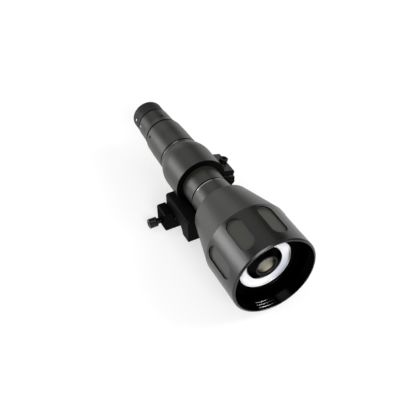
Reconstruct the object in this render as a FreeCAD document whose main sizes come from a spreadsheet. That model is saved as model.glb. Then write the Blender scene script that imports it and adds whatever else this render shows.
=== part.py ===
import FreeCAD, Part
import math
import operator
import os
import Sketcher
from FreeCAD import Placement, Rotation, Vector

# Infrared illuminator: a battery torch with a twist-to-focus head, held over an
# accessory rail by a one-piece ring mount with a sliding clamp jaw.
#
# Millimetres. +Z is up and the beam leaves towards -Y. The origin is the middle of
# the mount's rail seat. Every sub-part is drawn about the tube's own axis, with y
# counted back from the front rim of the head, and its Placement puts it in the frame.

doc = FreeCAD.newDocument("InfraredIlluminator")
sheet = doc.addObject("Spreadsheet::Sheet", "Sizes")
sub_parts = []


class Size:
    """A number that also knows its spreadsheet formula."""

    def __init__(self, value, formula):
        self.value = value
        self.formula = formula

    def __add__(self, other):
        return combine(self, "+", other)

    def __radd__(self, other):
        return combine(other, "+", self)

    def __sub__(self, other):
        return combine(self, "-", other)

    def __rsub__(self, other):
        return combine(other, "-", self)

    def __mul__(self, other):
        return combine(self, "*", other)

    def __rmul__(self, other):
        return combine(other, "*", self)

    def __truediv__(self, other):
        return combine(self, "/", other)

    def __neg__(self):
        return combine(0, "-", self)


OPERATIONS = {"+": operator.add, "-": operator.sub, "*": operator.mul, "/": operator.truediv}


def as_size(number):
    if isinstance(number, Size):
        return number
    return Size(number, "%g" % number)


def combine(left, sign, right):
    left = as_size(left)
    right = as_size(right)
    value = OPERATIONS[sign](left.value, right.value)
    return Size(value, "(%s %s %s)" % (left.formula, sign, right.formula))


def cosine(angle):
    return Size(math.cos(math.radians(angle.value)), "cos(%s)" % angle.formula)


def sine(angle):
    return Size(math.sin(math.radians(angle.value)), "sin(%s)" % angle.formula)


def square_root(number):
    return Size(math.sqrt(number.value), "sqrt(%s)" % number.formula)


# Fits shared by the whole torch.
turning_gap = 0.05
face_gap = 0.05
edge_break = 0.3

# The tube over the rail.
axis_height = 23.25
base_start_to_seat = 15.6

# Head shell, outside, from the front rim to the end of the sleeve.
head_radius = 26.5
rim_bevel = 0.8
grip_length = 31.3
cone_length = 29.2
fold_length = 2.0
throat_length = 1.5
bead_length = 2.0
sleeve_length = 9.5
fold_radius = 1.6
fold_fall = 2.4
throat_fall = 2.6
bead_fall = 0.3
sleeve_fall = 0.6
sleeve_wall = 1.35

# Head shell, inside.
head_wall = 2.5
hood_wall = 1.9
hood_chamfer = 0.4
hood_depth = 7.0
hood_thread_start = 1.4
hood_thread_pitch = 1.0
hood_thread_depth = 0.3
hood_thread_turns = 5
web_setback = 2.5

# Grip pockets round the head.
pocket_count = 8
pocket_turn = 16.4
pocket_depth = 1.3
pocket_width = 9.4
pocket_start = 6.3
pocket_land = 1.8

# Battery and battery tube.
battery_radius = 9.25
battery_length = 65.0
battery_clearance = 0.15
journal_wall = 2.2
neck_rise = 1.15
neck_length = 13.3
collar_seam = 0.6
tail_grip_rise = 1.05
tail_grip_fall = 0.3
tail_slope_length = 8.6
tail_slope_fall = 0.7
tail_rim_length = 1.8
tail_rim_bevel = 0.4
tail_rim_fall = 0.4
tube_end_fall = 0.1
spigot_wall = 1.2
spigot_length = 7.0
spring_room = 4.9

# Rubber rings, placed from the ends of the sleeve and of the tube.
head_ring_setback = 5.5
head_ring_section = 0.65
tail_ring_offset = 3.6
tail_ring_section = 0.3

# Things on the journal.
nut_height = 3.95
nut_wall = 3.4
washer_thickness = 0.55
washer_rim = 0.8

# Heat sink, guide pins and emitter.
flange_setback = 1.7
flange_thickness = 4.0
flange_radius = 19.0
post_length = 6.5
plug_offset = 2.4
plug_recess_depth = 8.5
plug_recess_radius = 7.5
guide_pin_count = 3
guide_pin_circle = 16.0
guide_pin_radius = 1.5
guide_pin_nose = 3.0
emitter_board_radius = 6.5
emitter_board_margin = 0.3
emitter_board_thickness = 1.5
dome_radius = 2.5
lead_spread = 2.5
lead_radius = 0.7
lead_clearance = 0.2

# Driver board and front contact.
driver_board_clearance = 0.1
driver_board_thickness = 1.6
contact_radius = 3.0
contact_height = 2.4

# Ring mount: collar.
collar_clearance = 0.02
collar_wall = 4.18
collar_length = 17.6
collar_bulge_radius = 11.0
collar_bulge_length = 9.9
collar_foot_wall = 1.33
collar_foot_length = 1.4
collar_rear_wall = 1.13
collar_rear_length = 0.9

# Ring mount: clamp ears, measured along and across the tilted split.
ear_tilt = 15.0
ear_length = 19.1
ear_top = 7.15
ear_split_top = 3.2
ear_slit = 1.0
ear_root = 8.0
ear_bevel = 0.9
ear_side_margin = 0.9
ear_end_margin = 3.7
lower_ear_foot = -8.7
lower_ear_slope = 3.3
ear_screw_offset = 2.45
ear_screw_radius = 1.5
ear_screw_clearance = 0.15
ear_screw_length = 10.0
ear_screw_head_radius = 2.75
ear_screw_head_height = 3.0
ear_screw_socket = 2.5
ear_screw_socket_depth = 1.6

# Ring mount: saddle and rail seat.
base_lead = 22.5
base_trail = 8.8
base_top = -7.2
base_bevel = 1.0
saddle_clearance = 0.7
rail_half_width = 10.75
rail_upper_depth = 2.85
rail_lower_depth = 5.0
hook_depth = 5.35
hook_thickness = 10.05
seat_step = 0.3
recess_offset = 6.5
recess_radius = 6.6
recess_wall = 0.45

# Clamp jaw and its guide pins.
jaw_gap = 0.2
jaw_thickness = 6.0
jaw_lead = 1.4
jaw_length = 11.5
jaw_rise = 8.05
jaw_bevel = 0.8
jaw_pin_radius = 1.25
jaw_pin_rise = 4.45
jaw_pin_front_inset = 2.6
jaw_pin_rear_inset = 3.1
jaw_pin_reach = 4.6
jaw_pin_root = 5.0
dimple_radius = 0.7
dimple_depth = 0.8
upper_dimple_inset = 1.5
upper_dimple_rise = 1.55
lower_dimple_inset = 2.2
lower_dimple_drop = 3.35

# Clamp bolt and washer.
bolt_inset = 6.6
bolt_drop = 1.0
bolt_radius = 2.0
bolt_slack = 0.3
bolt_head_radius = 3.5
bolt_head_height = 5.0
bolt_stand_off = 3.0
bolt_washer_thickness = 0.5
bolt_washer_inset = 0.3
bolt_tip_margin = 0.3
bolt_socket = 3.0
bolt_socket_depth = 2.6
bolt_thread_lead = 1.9
bolt_thread_pitch = 0.7
bolt_thread_depth = 0.25
bolt_thread_turns = 15

# Optic carrier and the ring that closes it.
optic_travel = 4.0
carrier_inset = 3.0
carrier_rear_gap = 9.0
carrier_floor = 3.0
carrier_wall = 1.95
carrier_rim = 0.35
carrier_lip = 2.5
ring_inset = 1.2
ring_step_depth = 1.0
ring_step_width = 4.1

# Reflector dish.
dish_inset = 1.0
dish_edge = 1.3
dish_clearance = 0.1
bead_radius = 16.2
bead_half_width = 0.6
bead_rise = 0.7
bowl_bend_radius = 16.0
bowl_depth = 1.2
dish_thickness = 1.1
dish_hole_gap = 0.15

# Lens barrel, lens and the ring that holds the lens.
lens_radius = 6.4
lens_edge = 1.6
lens_front_radius = 10.0
lens_pocket_gap = 0.05
lens_pocket_depth = 1.6
lens_ring_wall = 0.7
lens_ring_lip = 0.8
lens_ring_sink = 0.2
nose_wall = 0.5
nose_length = 2.0
throat_lip = 1.2
lens_barrel_radius = 10.95
barrel_rear_clearance = 1.0
dome_clearance = 0.5

# Tail housing.
tail_seam = 0.6
tail_length = 15.4
tail_waist_length = 4.5
tail_step = 0.2
tail_waist_fall = 0.7
tail_end_fall = 1.1
tail_web = 1.9
contact_board_thickness = 1.5
contact_board_clearance = 0.25
spring_radius = 4.5
spring_wire = 0.45
spring_turns = 4

# Dimmer behind the contact board.
dimmer_radius = 8.0
bush_wall = 0.45
bush_reach = 3.2
dimmer_nut_wall = 1.7
dimmer_nut_height = 1.8
spindle_radius = 3.0
spindle_root = 4.9

# Power dial.
dial_gap = 0.6
dial_length = 11.6
dial_step = 0.5
dial_front_bevel = 0.5
dial_round = 1.6
dial_wall = 2.4
dial_cap = 2.6
dial_cavity_room = 1.6
dial_groove_count = 60
dial_groove_depth = 0.22
dial_groove_width = 0.5
dial_groove_inset = 1.2
dial_groove_rear_inset = 2.2

# Grub screws and marks, with their places round the tube.
grub_radius = 1.0
grub_sink = 0.25
grub_socket = 0.9
grub_socket_depth = 0.7
tube_grub_inset = 2.7
tube_grub_angle = -62.9
tube_grub_depth = 2.4
tail_grub_offset = 1.9
tail_grub_angle = 11.0
dial_grub_inset = 5.0
dial_grub_angle = 104.0
dot_radius = 0.75
dot_depth = 0.4
dial_dot_inset = 5.5
tail_dot_inset = 2.5
dot_angle = -75.6

# Every number above goes into the sheet under its own name, and the name then stands for its cell.
numbers = {name: value for name, value in globals().items() if isinstance(value, float)}
for row, (name, value) in enumerate(numbers.items(), 1):
    sheet.set("A%d" % row, name.replace("_", " "))
    sheet.set("B%d" % row, "%g" % value)
    sheet.setAlias("B%d" % row, name)
    globals()[name] = Size(value, "Sizes.%s" % name)

# Radii that follow, from the battery outwards.
battery_bore = battery_radius + battery_clearance
journal_radius = battery_bore + journal_wall
neck_radius = journal_radius + neck_rise
spigot_radius = battery_bore + spigot_wall
tail_bore = spigot_radius + turning_gap
sleeve_bore = journal_radius + turning_gap
sleeve_end_radius = sleeve_bore + sleeve_wall
sleeve_step_radius = sleeve_end_radius + sleeve_fall
sleeve_start_radius = sleeve_step_radius + bead_fall
shoulder_radius = sleeve_start_radius + throat_fall
cone_end_radius = shoulder_radius + fold_fall
washer_bore = journal_radius
washer_radius = journal_radius + washer_rim
nut_radius = journal_radius + nut_wall
collar_bore = neck_radius + collar_clearance
collar_radius = collar_bore + collar_wall
collar_foot_radius = collar_bore + collar_foot_wall
collar_rear_radius = collar_bore + collar_rear_wall
saddle_radius = sleeve_start_radius + saddle_clearance
tail_grip_radius = neck_radius + tail_grip_rise
tail_grip_middle_radius = tail_grip_radius - tail_grip_fall
shoulder_start_radius = tail_grip_radius - tail_slope_fall
shoulder_foot_radius = shoulder_start_radius - tail_rim_fall
tube_end_radius = shoulder_foot_radius - tube_end_fall
tail_start_radius = tube_end_radius - tail_step
tail_waist_radius = tail_start_radius - tail_waist_fall
tail_end_radius = tail_start_radius - tail_end_fall
dial_radius = tail_end_radius - dial_step
dial_cavity_radius = dial_radius - dial_wall
bush_bore = spindle_radius + turning_gap
bush_radius = bush_bore + bush_wall
dimmer_nut_radius = bush_radius + dimmer_nut_wall
driver_board_radius = battery_bore - driver_board_clearance
contact_board_radius = tail_bore - contact_board_clearance

# Radii that follow, from the head's rim inwards.
rim_radius = head_radius - rim_bevel
barrel_bore = head_radius - head_wall
hood_bore = head_radius - hood_wall
pocket_floor = head_radius - pocket_depth
carrier_radius = barrel_bore - turning_gap
carrier_hollow_radius = carrier_radius - carrier_wall
ring_outer_radius = carrier_radius - carrier_rim
carrier_lip_radius = ring_outer_radius - carrier_lip
dish_flange_radius = carrier_lip_radius - dish_clearance
ring_step_radius = ring_outer_radius - ring_step_width
ring_inner_radius = bead_radius + bead_half_width + dish_clearance
post_radius = emitter_board_radius + emitter_board_margin
barrel_rear_radius = emitter_board_radius + barrel_rear_clearance
barrel_throat_radius = lens_radius - throat_lip
lens_ring_bore = lens_radius - lens_ring_lip
lens_ring_radius = lens_radius + lens_ring_wall
nose_radius = lens_ring_radius + nose_wall

# Stations of the head and of what it holds.
grip_end = grip_length
cone_end = grip_end + cone_length
shoulder_end = cone_end + fold_length
sleeve_start = shoulder_end + throat_length
sleeve_step = sleeve_start + bead_length
head_length = sleeve_step + sleeve_length
head_ring_station = head_length - head_ring_setback
pocket_end = grip_end - pocket_land
web_front = cone_end - web_setback
nut_end = web_front - face_gap
nut_start = nut_end - nut_height
flange_start = grip_end + flange_setback
journal_start = flange_start + flange_thickness
post_start = flange_start - post_length
emitter_board_start = post_start - emitter_board_thickness
carrier_start = hood_depth + carrier_inset
carrier_end = flange_start - carrier_rear_gap
carrier_wall_start = carrier_end - carrier_floor
guide_pin_start = carrier_wall_start - guide_pin_nose
ring_start = hood_depth + ring_inset
ring_step_start = ring_start + ring_step_depth
dish_front = carrier_start + dish_inset
dish_seat = dish_front + dish_edge
bead_front = dish_front - bead_rise
bowl_bottom = dish_front + bowl_depth
barrel_shoulder = dish_front
nose_start = barrel_shoulder - nose_length
lens_ring_start = nose_start + lens_ring_sink
lens_edge_front = nose_start + lens_pocket_depth
lens_seat = lens_edge_front + lens_edge
barrel_rear_start = emitter_board_start - dome_radius - dome_clearance - optic_travel

# Stations of the tube, its mount and its tail.
washer_start = head_length + face_gap
neck_start = washer_start + washer_thickness
plug_end = neck_start + plug_offset
plug_recess_start = plug_end - plug_recess_depth
driver_board_end = plug_end + driver_board_thickness
battery_start = driver_board_end + contact_height
battery_end = battery_start + battery_length
collar_start = neck_start + neck_length
collar_shoulder = collar_start + collar_length
collar_foot = collar_shoulder + collar_bulge_length
collar_rear_start = collar_foot + collar_foot_length
collar_end = collar_rear_start + collar_rear_length
tail_grip_start = collar_end + collar_seam
spigot_end = battery_end + spring_room
tube_end = spigot_end - spigot_length
shoulder_start = tube_end - tail_rim_length
shoulder_foot = shoulder_start + tail_rim_bevel
tail_grip_middle = shoulder_start - tail_slope_length
tube_grub_station = shoulder_start - tube_grub_inset
tail_ring_station = tube_end + tail_ring_offset
tail_start = tube_end + tail_seam
tail_waist = tail_start + tail_waist_length
tail_end = tail_start + tail_length
tail_grub_station = tail_waist + tail_grub_offset
tail_dot_station = tail_end - tail_dot_inset
contact_board_start = spigot_end + face_gap * 2
contact_board_end = contact_board_start + contact_board_thickness
dimmer_end = tail_end - tail_web
bush_end = tail_end + bush_reach
spindle_start = tail_end - spindle_root
dial_start = tail_end + dial_gap
dial_cavity_end = bush_end + dial_cavity_room
dial_end = dial_start + dial_length
spindle_end = dial_end - dial_cap
dial_groove_start = dial_start + dial_groove_inset
dial_groove_end = dial_end - dial_groove_rear_inset
dial_grub_station = dial_end - dial_grub_inset
dial_dot_station = dial_start + dial_dot_inset

# Places on the mount, along the tube.
base_start = collar_start - base_lead
base_end = collar_start + base_trail
rim_to_seat = base_start + base_start_to_seat
jaw_start = collar_start - jaw_lead
jaw_end = jaw_start + jaw_length
jaw_pin_first = jaw_start + jaw_pin_front_inset
jaw_pin_second = jaw_end - jaw_pin_rear_inset
bolt_station = jaw_start + bolt_inset
recess_station = jaw_start - recess_offset
upper_dimple_station = jaw_end - upper_dimple_inset
lower_dimple_station = jaw_start + lower_dimple_inset
ear_screw_station = collar_start + ear_length / 2

# Heights on the mount, from the tube's axis.
seat = -axis_height
hook_bottom = seat - hook_depth
jaw_top = seat + jaw_rise
jaw_pin_height = seat + jaw_pin_rise
bolt_height = seat - bolt_drop
upper_dimple_height = seat + upper_dimple_rise
lower_dimple_height = seat - lower_dimple_drop
ear_split_bottom = ear_split_top - ear_slit

# Places on the mount, across the rail.
rail_seat_half_width = rail_half_width - rail_upper_depth
rail_lower_half_width = rail_half_width - rail_lower_depth + rail_upper_depth
base_half_width = rail_half_width + hook_thickness
recess_inner_side = rail_half_width + recess_wall
jaw_inner = -(base_half_width + jaw_gap)
jaw_outer = jaw_inner - jaw_thickness
bolt_head_inner = jaw_outer - bolt_stand_off - bolt_washer_thickness
bolt_washer_radius = bolt_head_radius - bolt_washer_inset
bolt_tip = base_half_width - bolt_stand_off - bolt_tip_margin
bolt_thread_start = rail_seat_half_width - bolt_thread_lead
ear_screw_reach = collar_radius + ear_screw_offset
ear_reach = ear_screw_reach + ear_end_margin
lower_ear_side = ear_reach + ear_side_margin


# Document helpers.


def bind(thing, property_name, size):
    thing.setExpression(property_name, as_size(size).formula)


def origin_feature(body, role):
    return [feature for feature in body.Origin.OriginFeatures if feature.Role == role][0]


def put_in_frame(thing):
    """Moves a sub-part from the tube's own axis to its place over the rail."""
    thing.Placement = Placement(Vector(0, -rim_to_seat.value, axis_height.value), Rotation())
    bind(thing, ".Placement.Base.y", -rim_to_seat)
    bind(thing, ".Placement.Base.z", axis_height)


def new_body(label):
    body = doc.addObject("PartDesign::Body", label)
    body.Label = label
    put_in_frame(body)
    sub_parts.append(body)
    return body


def new_sketch(body, name, plane, lift=0):
    sketch = body.newObject("Sketcher::SketchObject", name)
    sketch.AttachmentSupport = (origin_feature(body, plane), [""])
    sketch.MapMode = "FlatFace"
    lift = as_size(lift)
    if lift.value != 0:
        sketch.AttachmentOffset = Placement(Vector(0, 0, lift.value), Rotation())
        bind(sketch, ".AttachmentOffset.Base.z", lift)
    return sketch


def tangent_sketch(body, name, distance, turn):
    """A sketch square to the radius that stands turn degrees from the top, clockwise from behind."""
    sketch = new_sketch(body, name, "XY_Plane")
    side = distance * sine(turn)
    rise = distance * cosine(turn)
    spin = Rotation(Vector(0, 1, 0), turn.value)
    sketch.AttachmentOffset = Placement(Vector(side.value, 0, rise.value), spin)
    bind(sketch, ".AttachmentOffset.Base.x", side)
    bind(sketch, ".AttachmentOffset.Base.z", rise)
    bind(sketch, ".AttachmentOffset.Rotation.Angle", turn)
    return sketch


def pin_across(sketch, geometry, end, across):
    """Fixes how far across the sketch a point lies, at a size taken from the sheet."""
    across = as_size(across)
    if across.value == 0:
        sketch.addConstraint(Sketcher.Constraint("PointOnObject", geometry, end, -2))
        return
    index = sketch.addConstraint(Sketcher.Constraint("DistanceX", -1, 1, geometry, end, across.value))
    bind(sketch, "Constraints[%d]" % index, across)


def pin_up(sketch, geometry, end, up):
    """Fixes how far up the sketch a point lies, at a size taken from the sheet."""
    up = as_size(up)
    if up.value == 0:
        sketch.addConstraint(Sketcher.Constraint("PointOnObject", geometry, end, -1))
        return
    index = sketch.addConstraint(Sketcher.Constraint("DistanceY", -1, 1, geometry, end, up.value))
    bind(sketch, "Constraints[%d]" % index, up)


def pin_radius(sketch, geometry, radius):
    index = sketch.addConstraint(Sketcher.Constraint("Radius", geometry, radius.value))
    bind(sketch, "Constraints[%d]" % index, radius)


class Bend:
    """An arc between the outline points on both sides of it, its centre left or right of the way."""

    def __init__(self, radius, centre):
        self.radius = radius
        self.side = {"left": 1, "right": -1}[centre]

    def shape(self, start, end):
        chord = end - start
        left = Vector(-chord.y, chord.x, 0).normalize()
        rise = math.sqrt(self.radius.value ** 2 - (chord.Length / 2) ** 2)
        return self.arc_about(start + chord * 0.5 + left * (rise * self.side), start, end)

    def arc_about(self, centre, start, end):
        circle = Part.Circle(centre, Vector(0, 0, 1), (start - centre).Length)
        from_start = math.atan2(start.y - centre.y, start.x - centre.x)
        from_end = math.atan2(end.y - centre.y, end.x - centre.x)
        if self.side > 0:
            return Part.ArcOfCircle(circle, from_start, from_end)
        return Part.ArcOfCircle(circle, from_end, from_start)

    def hold(self, sketch, geometry, start, end):
        pin_radius(sketch, geometry, self.radius)


class HalfRound(Bend):
    """A half circle between two points that are level or upright, so its centre is in line with them."""

    def __init__(self, centre):
        self.side = {"left": 1, "right": -1}[centre]

    def shape(self, start, end):
        return self.arc_about((start + end) * 0.5, start, end)

    def hold(self, sketch, geometry, start, end):
        level = abs(as_size(start[1]).value - as_size(end[1]).value) < 1e-6
        if level:
            pin_up(sketch, geometry, 3, start[1])
        else:
            pin_across(sketch, geometry, 3, start[0])


def draw_outline(sketch, *steps):
    """Draws a closed outline through points, with a Bend wherever two of them are joined by an arc."""
    points = []
    bends = {}
    for step in steps:
        if isinstance(step, Bend):
            bends[len(points) - 1] = step
        else:
            points.append(step)
    places = [Vector(as_size(across).value, as_size(up).value, 0) for across, up in points]
    pieces = []
    for index, start in enumerate(places):
        end = places[(index + 1) % len(places)]
        bend = bends.get(index)
        shape = bend.shape(start, end) if bend else Part.LineSegment(start, end)
        number = sketch.addGeometry(shape, False)
        pieces.append((number, 2, 1) if bend and bend.side < 0 else (number, 1, 2))
    for index, (number, first, last) in enumerate(pieces):
        following, next_first = pieces[(index + 1) % len(pieces)][:2]
        across, up = points[index]
        sketch.addConstraint(Sketcher.Constraint("Coincident", number, last, following, next_first))
        pin_across(sketch, number, first, across)
        pin_up(sketch, number, first, up)
    for index, bend in bends.items():
        bend.hold(sketch, pieces[index][0], points[index], points[(index + 1) % len(points)])
    return sketch


def draw_circle(sketch, across, up, radius):
    centre = Vector(as_size(across).value, as_size(up).value, 0)
    number = sketch.addGeometry(Part.Circle(centre, Vector(0, 0, 1), radius.value), False)
    pin_radius(sketch, number, radius)
    pin_across(sketch, number, 3, across)
    pin_up(sketch, number, 3, up)
    return sketch


def draw_hexagon(sketch, across, up, across_flats):
    """A hexagon for a key, two of its sides level."""
    flat = across_flats / 2
    corner = across_flats / square_root(as_size(3))
    points = [
        (across + corner, up),
        (across + corner / 2, up + flat),
        (across - corner / 2, up + flat),
        (across - corner, up),
        (across - corner / 2, up - flat),
        (across + corner / 2, up - flat),
    ]
    return draw_outline(sketch, *points)


def revolve(body, kind, name, *steps):
    """A Revolution or Groove about the tube's axis, from an outline of stations and radii."""
    sketch = draw_outline(new_sketch(body, name + "_outline", "YZ_Plane"), *steps)
    feature = body.newObject("PartDesign::" + kind, name)
    feature.Profile = sketch
    feature.ReferenceAxis = (sketch, ["H_Axis"])
    feature.Angle = 360
    return feature


def turned(label, *steps):
    """A body turned on the lathe from one outline."""
    body = new_body(label)
    revolve(body, "Revolution", label + "_turning", *steps)
    return body


def rod(label, radius, start, end):
    return turned(label, (start, 0), (end, 0), (end, radius), (start, radius))


def washer_shape(label, bore, radius, start, end):
    return turned(label, (start, bore), (end, bore), (end, radius), (start, radius))


def extrude(body, kind, name, sketch, length=None, reverse=False):
    """A Pad or Pocket of a sketch, through everything where no length is given."""
    feature = body.newObject("PartDesign::" + kind, name)
    feature.Profile = sketch
    feature.Reversed = reverse
    if length is None:
        feature.Type = "ThroughAll"
    else:
        bind(feature, "Length", length)
    return feature


def repeat_round(body, feature, count):
    pattern = body.newObject("PartDesign::PolarPattern", feature.Name + "_round")
    pattern.Originals = [feature]
    pattern.Axis = (origin_feature(body, "Y_Axis"), [""])
    pattern.Angle = 360
    pattern.Occurrences = count
    body.Tip = pattern
    return pattern


def repeat_along(body, feature, role, pitch, count):
    pattern = body.newObject("PartDesign::LinearPattern", feature.Name + "_row")
    pattern.Originals = [feature]
    pattern.Direction = (origin_feature(body, role), [""])
    bind(pattern, "Length", pitch * (count - 1))
    pattern.Occurrences = count
    body.Tip = pattern
    return pattern


def dress_edges(body, kind, name, size, *rims):
    """A Fillet or Chamfer on the round edges that pass through the given stations and radii."""
    doc.recompute()
    base = body.Tip
    names = []
    for index, edge in enumerate(base.Shape.Edges, 1):
        if not isinstance(edge.Curve, Part.Circle):
            continue
        centre = edge.Curve.Center
        if abs(centre.x) > 1e-6 or abs(centre.z) > 1e-6:
            continue
        for station, radius in rims:
            near_station = abs(centre.y - station.value) < 1e-4
            near_radius = abs(edge.Curve.Radius - radius.value) < 1e-4
            if near_station and near_radius:
                names.append("Edge%d" % index)
    feature = body.newObject("PartDesign::" + kind, name)
    feature.Base = (base, names)
    bind(feature, "Radius" if kind == "Fillet" else "Size", size)
    return feature


# The focusing head.


def head_shell():
    inner_cone_radius = cone_end_radius - head_wall
    web_radius = inner_cone_radius + (cone_end - web_front) * (head_radius - cone_end_radius) / (
        cone_end - grip_end
    )
    body = turned(
        "head_shell",
        (0, hood_bore + hood_chamfer),
        (0, rim_radius),
        (rim_bevel, head_radius),
        (grip_end, head_radius),
        (cone_end, cone_end_radius),
        (shoulder_end, shoulder_radius),
        (sleeve_start, sleeve_start_radius),
        (sleeve_step, sleeve_step_radius),
        (head_length, sleeve_end_radius),
        (head_length, sleeve_bore),
        (web_front, sleeve_bore),
        (web_front, web_radius),
        (grip_end, barrel_bore),
        (hood_depth, barrel_bore),
        (hood_depth, hood_bore),
        (hood_chamfer, hood_bore),
    )
    dress_edges(body, "Fillet", "shoulder_fold", fold_radius, (cone_end, cone_end_radius))
    thread = revolve(
        body,
        "Groove",
        "hood_thread",
        (hood_thread_start - hood_thread_pitch / 3, hood_bore - hood_thread_depth),
        (hood_thread_start - hood_thread_pitch / 3, hood_bore),
        (hood_thread_start, hood_bore + hood_thread_depth),
        (hood_thread_start + hood_thread_pitch / 3, hood_bore),
        (hood_thread_start + hood_thread_pitch / 3, hood_bore - hood_thread_depth),
    )
    repeat_along(body, thread, "Y_Axis", hood_thread_pitch, hood_thread_turns)
    half_width = pocket_width / 2
    sketch = draw_outline(
        tangent_sketch(body, "pocket_outline", pocket_floor, pocket_turn),
        (half_width, pocket_start + half_width),
        (half_width, pocket_end - half_width),
        HalfRound("left"),
        (-half_width, pocket_end - half_width),
        (-half_width, pocket_start + half_width),
        HalfRound("left"),
    )
    pocket = extrude(body, "Pocket", "grip_pocket", sketch, reverse=True)
    repeat_round(body, pocket, pocket_count)


def head_nut():
    nut = washer_shape("head_nut", journal_radius, nut_radius, nut_start, nut_end)
    sketch = new_sketch(nut, "wrench_slot_outline", "XZ_Plane", -nut_start)
    slot = journal_radius / 4
    draw_outline(
        sketch,
        (-slot / 2, nut_radius - slot),
        (slot / 2, nut_radius - slot),
        (slot / 2, nut_radius + slot),
        (-slot / 2, nut_radius + slot),
    )
    pocket = extrude(nut, "Pocket", "wrench_slot", sketch, (nut_end - nut_start) / 2)
    repeat_round(nut, pocket, 4)


def seam_washer():
    washer_shape("seam_washer", washer_bore, washer_radius, washer_start, neck_start)


def rubber_ring(label, station, major, section):
    """A torus round the tube, lying in its groove."""
    ring = doc.addObject("Part::Torus", label)
    ring.Label = label
    level = Rotation(Vector(1, 0, 0), 90)
    place = station - rim_to_seat
    ring.Placement = Placement(Vector(0, place.value, axis_height.value), level)
    bind(ring, ".Placement.Base.y", place)
    bind(ring, ".Placement.Base.z", axis_height)
    bind(ring, "Radius1", major)
    bind(ring, "Radius2", section)
    sub_parts.append(ring)


# The battery tube and what is inside it.


def ring_groove(body, name, station, radius, section):
    """A square groove that holds a rubber ring of this section, its floor under the ring."""
    half = section + turning_gap
    floor = radius - section * 2
    revolve(
        body,
        "Groove",
        name,
        (station - half, floor),
        (station + half, floor),
        (station + half, radius + section),
        (station - half, radius + section),
    )


def radial_hole(body, name, station, turn, radius, floor):
    """A round hole from outside down to the floor radius."""
    sketch = tangent_sketch(body, name + "_outline", floor, turn)
    draw_circle(sketch, 0, station, radius)
    extrude(body, "Pocket", name, sketch, reverse=True)


def battery_tube():
    body = turned(
        "battery_tube",
        (journal_start, battery_bore),
        (journal_start, journal_radius),
        (neck_start, journal_radius),
        (neck_start, neck_radius),
        (tail_grip_start, neck_radius),
        (tail_grip_start, tail_grip_radius),
        (tail_grip_middle, tail_grip_middle_radius),
        (shoulder_start, shoulder_start_radius),
        (shoulder_foot, shoulder_foot_radius),
        (tube_end, tube_end_radius),
        (tube_end, spigot_radius),
        (spigot_end, spigot_radius),
        (spigot_end, battery_bore),
    )
    dress_edges(body, "Chamfer", "tail_grip_bevel", edge_break, (tail_grip_start, tail_grip_radius))
    ring_groove(body, "head_ring_groove", head_ring_station, journal_radius, head_ring_section)
    ring_groove(body, "tail_ring_groove", tail_ring_station, spigot_radius, tail_ring_section)
    tube_radius = shoulder_start_radius
    radial_hole(
        body, "grub_hole", tube_grub_station, tube_grub_angle, grub_radius, tube_radius - tube_grub_depth
    )


def heat_sink():
    body = turned(
        "heat_sink",
        (post_start, 0),
        (post_start, post_radius),
        (flange_start, post_radius),
        (flange_start, flange_radius),
        (journal_start, flange_radius),
        (journal_start, battery_bore),
        (plug_end, battery_bore),
        (plug_end, plug_recess_radius),
        (plug_recess_start, plug_recess_radius),
        (plug_recess_start, 0),
    )
    sketch = new_sketch(body, "lead_holes_outline", "XZ_Plane", -post_start)
    for side in (-1, 1):
        draw_circle(sketch, side * lead_spread, 0, lead_radius + lead_clearance)
    extrude(body, "Pocket", "lead_holes", sketch, plug_recess_start - post_start)
    pins = new_sketch(body, "pin_holes_outline", "XZ_Plane", -flange_start)
    draw_circle(pins, 0, guide_pin_circle, guide_pin_radius)
    pin_hole = extrude(body, "Pocket", "pin_hole", pins, journal_start - flange_start)
    repeat_round(body, pin_hole, guide_pin_count)


def guide_pins():
    body = new_body("guide_pins")
    body.AllowCompound = True
    sketch = new_sketch(body, "guide_pins_outline", "XZ_Plane", -guide_pin_start)
    for index in range(guide_pin_count):
        turn = as_size(index * 360.0 / guide_pin_count)
        draw_circle(sketch, guide_pin_circle * sine(turn), guide_pin_circle * cosine(turn), guide_pin_radius)
    extrude(body, "Pad", "guide_pins_length", sketch, journal_start - guide_pin_start, reverse=True)


def emitter_board():
    rod("emitter_board", emitter_board_radius, emitter_board_start, post_start)


def emitter_dome():
    turned(
        "emitter_dome",
        (emitter_board_start - dome_radius, 0),
        (emitter_board_start, 0),
        (emitter_board_start, dome_radius),
        Bend(dome_radius, "left"),
    )


def emitter_leads():
    body = new_body("emitter_leads")
    body.AllowCompound = True
    sketch = new_sketch(body, "emitter_leads_outline", "XZ_Plane", -post_start)
    for side in (-1, 1):
        draw_circle(sketch, side * lead_spread, 0, lead_radius)
    extrude(body, "Pad", "emitter_leads_length", sketch, plug_end - post_start, reverse=True)


def battery():
    """A round cell with a raised button at its front end."""
    button = battery_radius / 4
    edge = battery_radius / 12
    turned(
        "battery",
        (battery_start, 0),
        (battery_end, 0),
        (battery_end, battery_radius),
        (battery_start + edge, battery_radius),
        (battery_start + edge, button),
        (battery_start, button),
    )


# The ring mount.


def along_split(reach, rise):
    """Level and upright distances of a point given along and across the tilted split."""
    level = reach * cosine(ear_tilt) + rise * sine(ear_tilt)
    upright = rise * cosine(ear_tilt) - reach * sine(ear_tilt)
    return level, upright


def reach_at_side(side, rise):
    """How far along the split the point lies whose level distance is given."""
    return (side - rise * sine(ear_tilt)) / cosine(ear_tilt)


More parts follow.
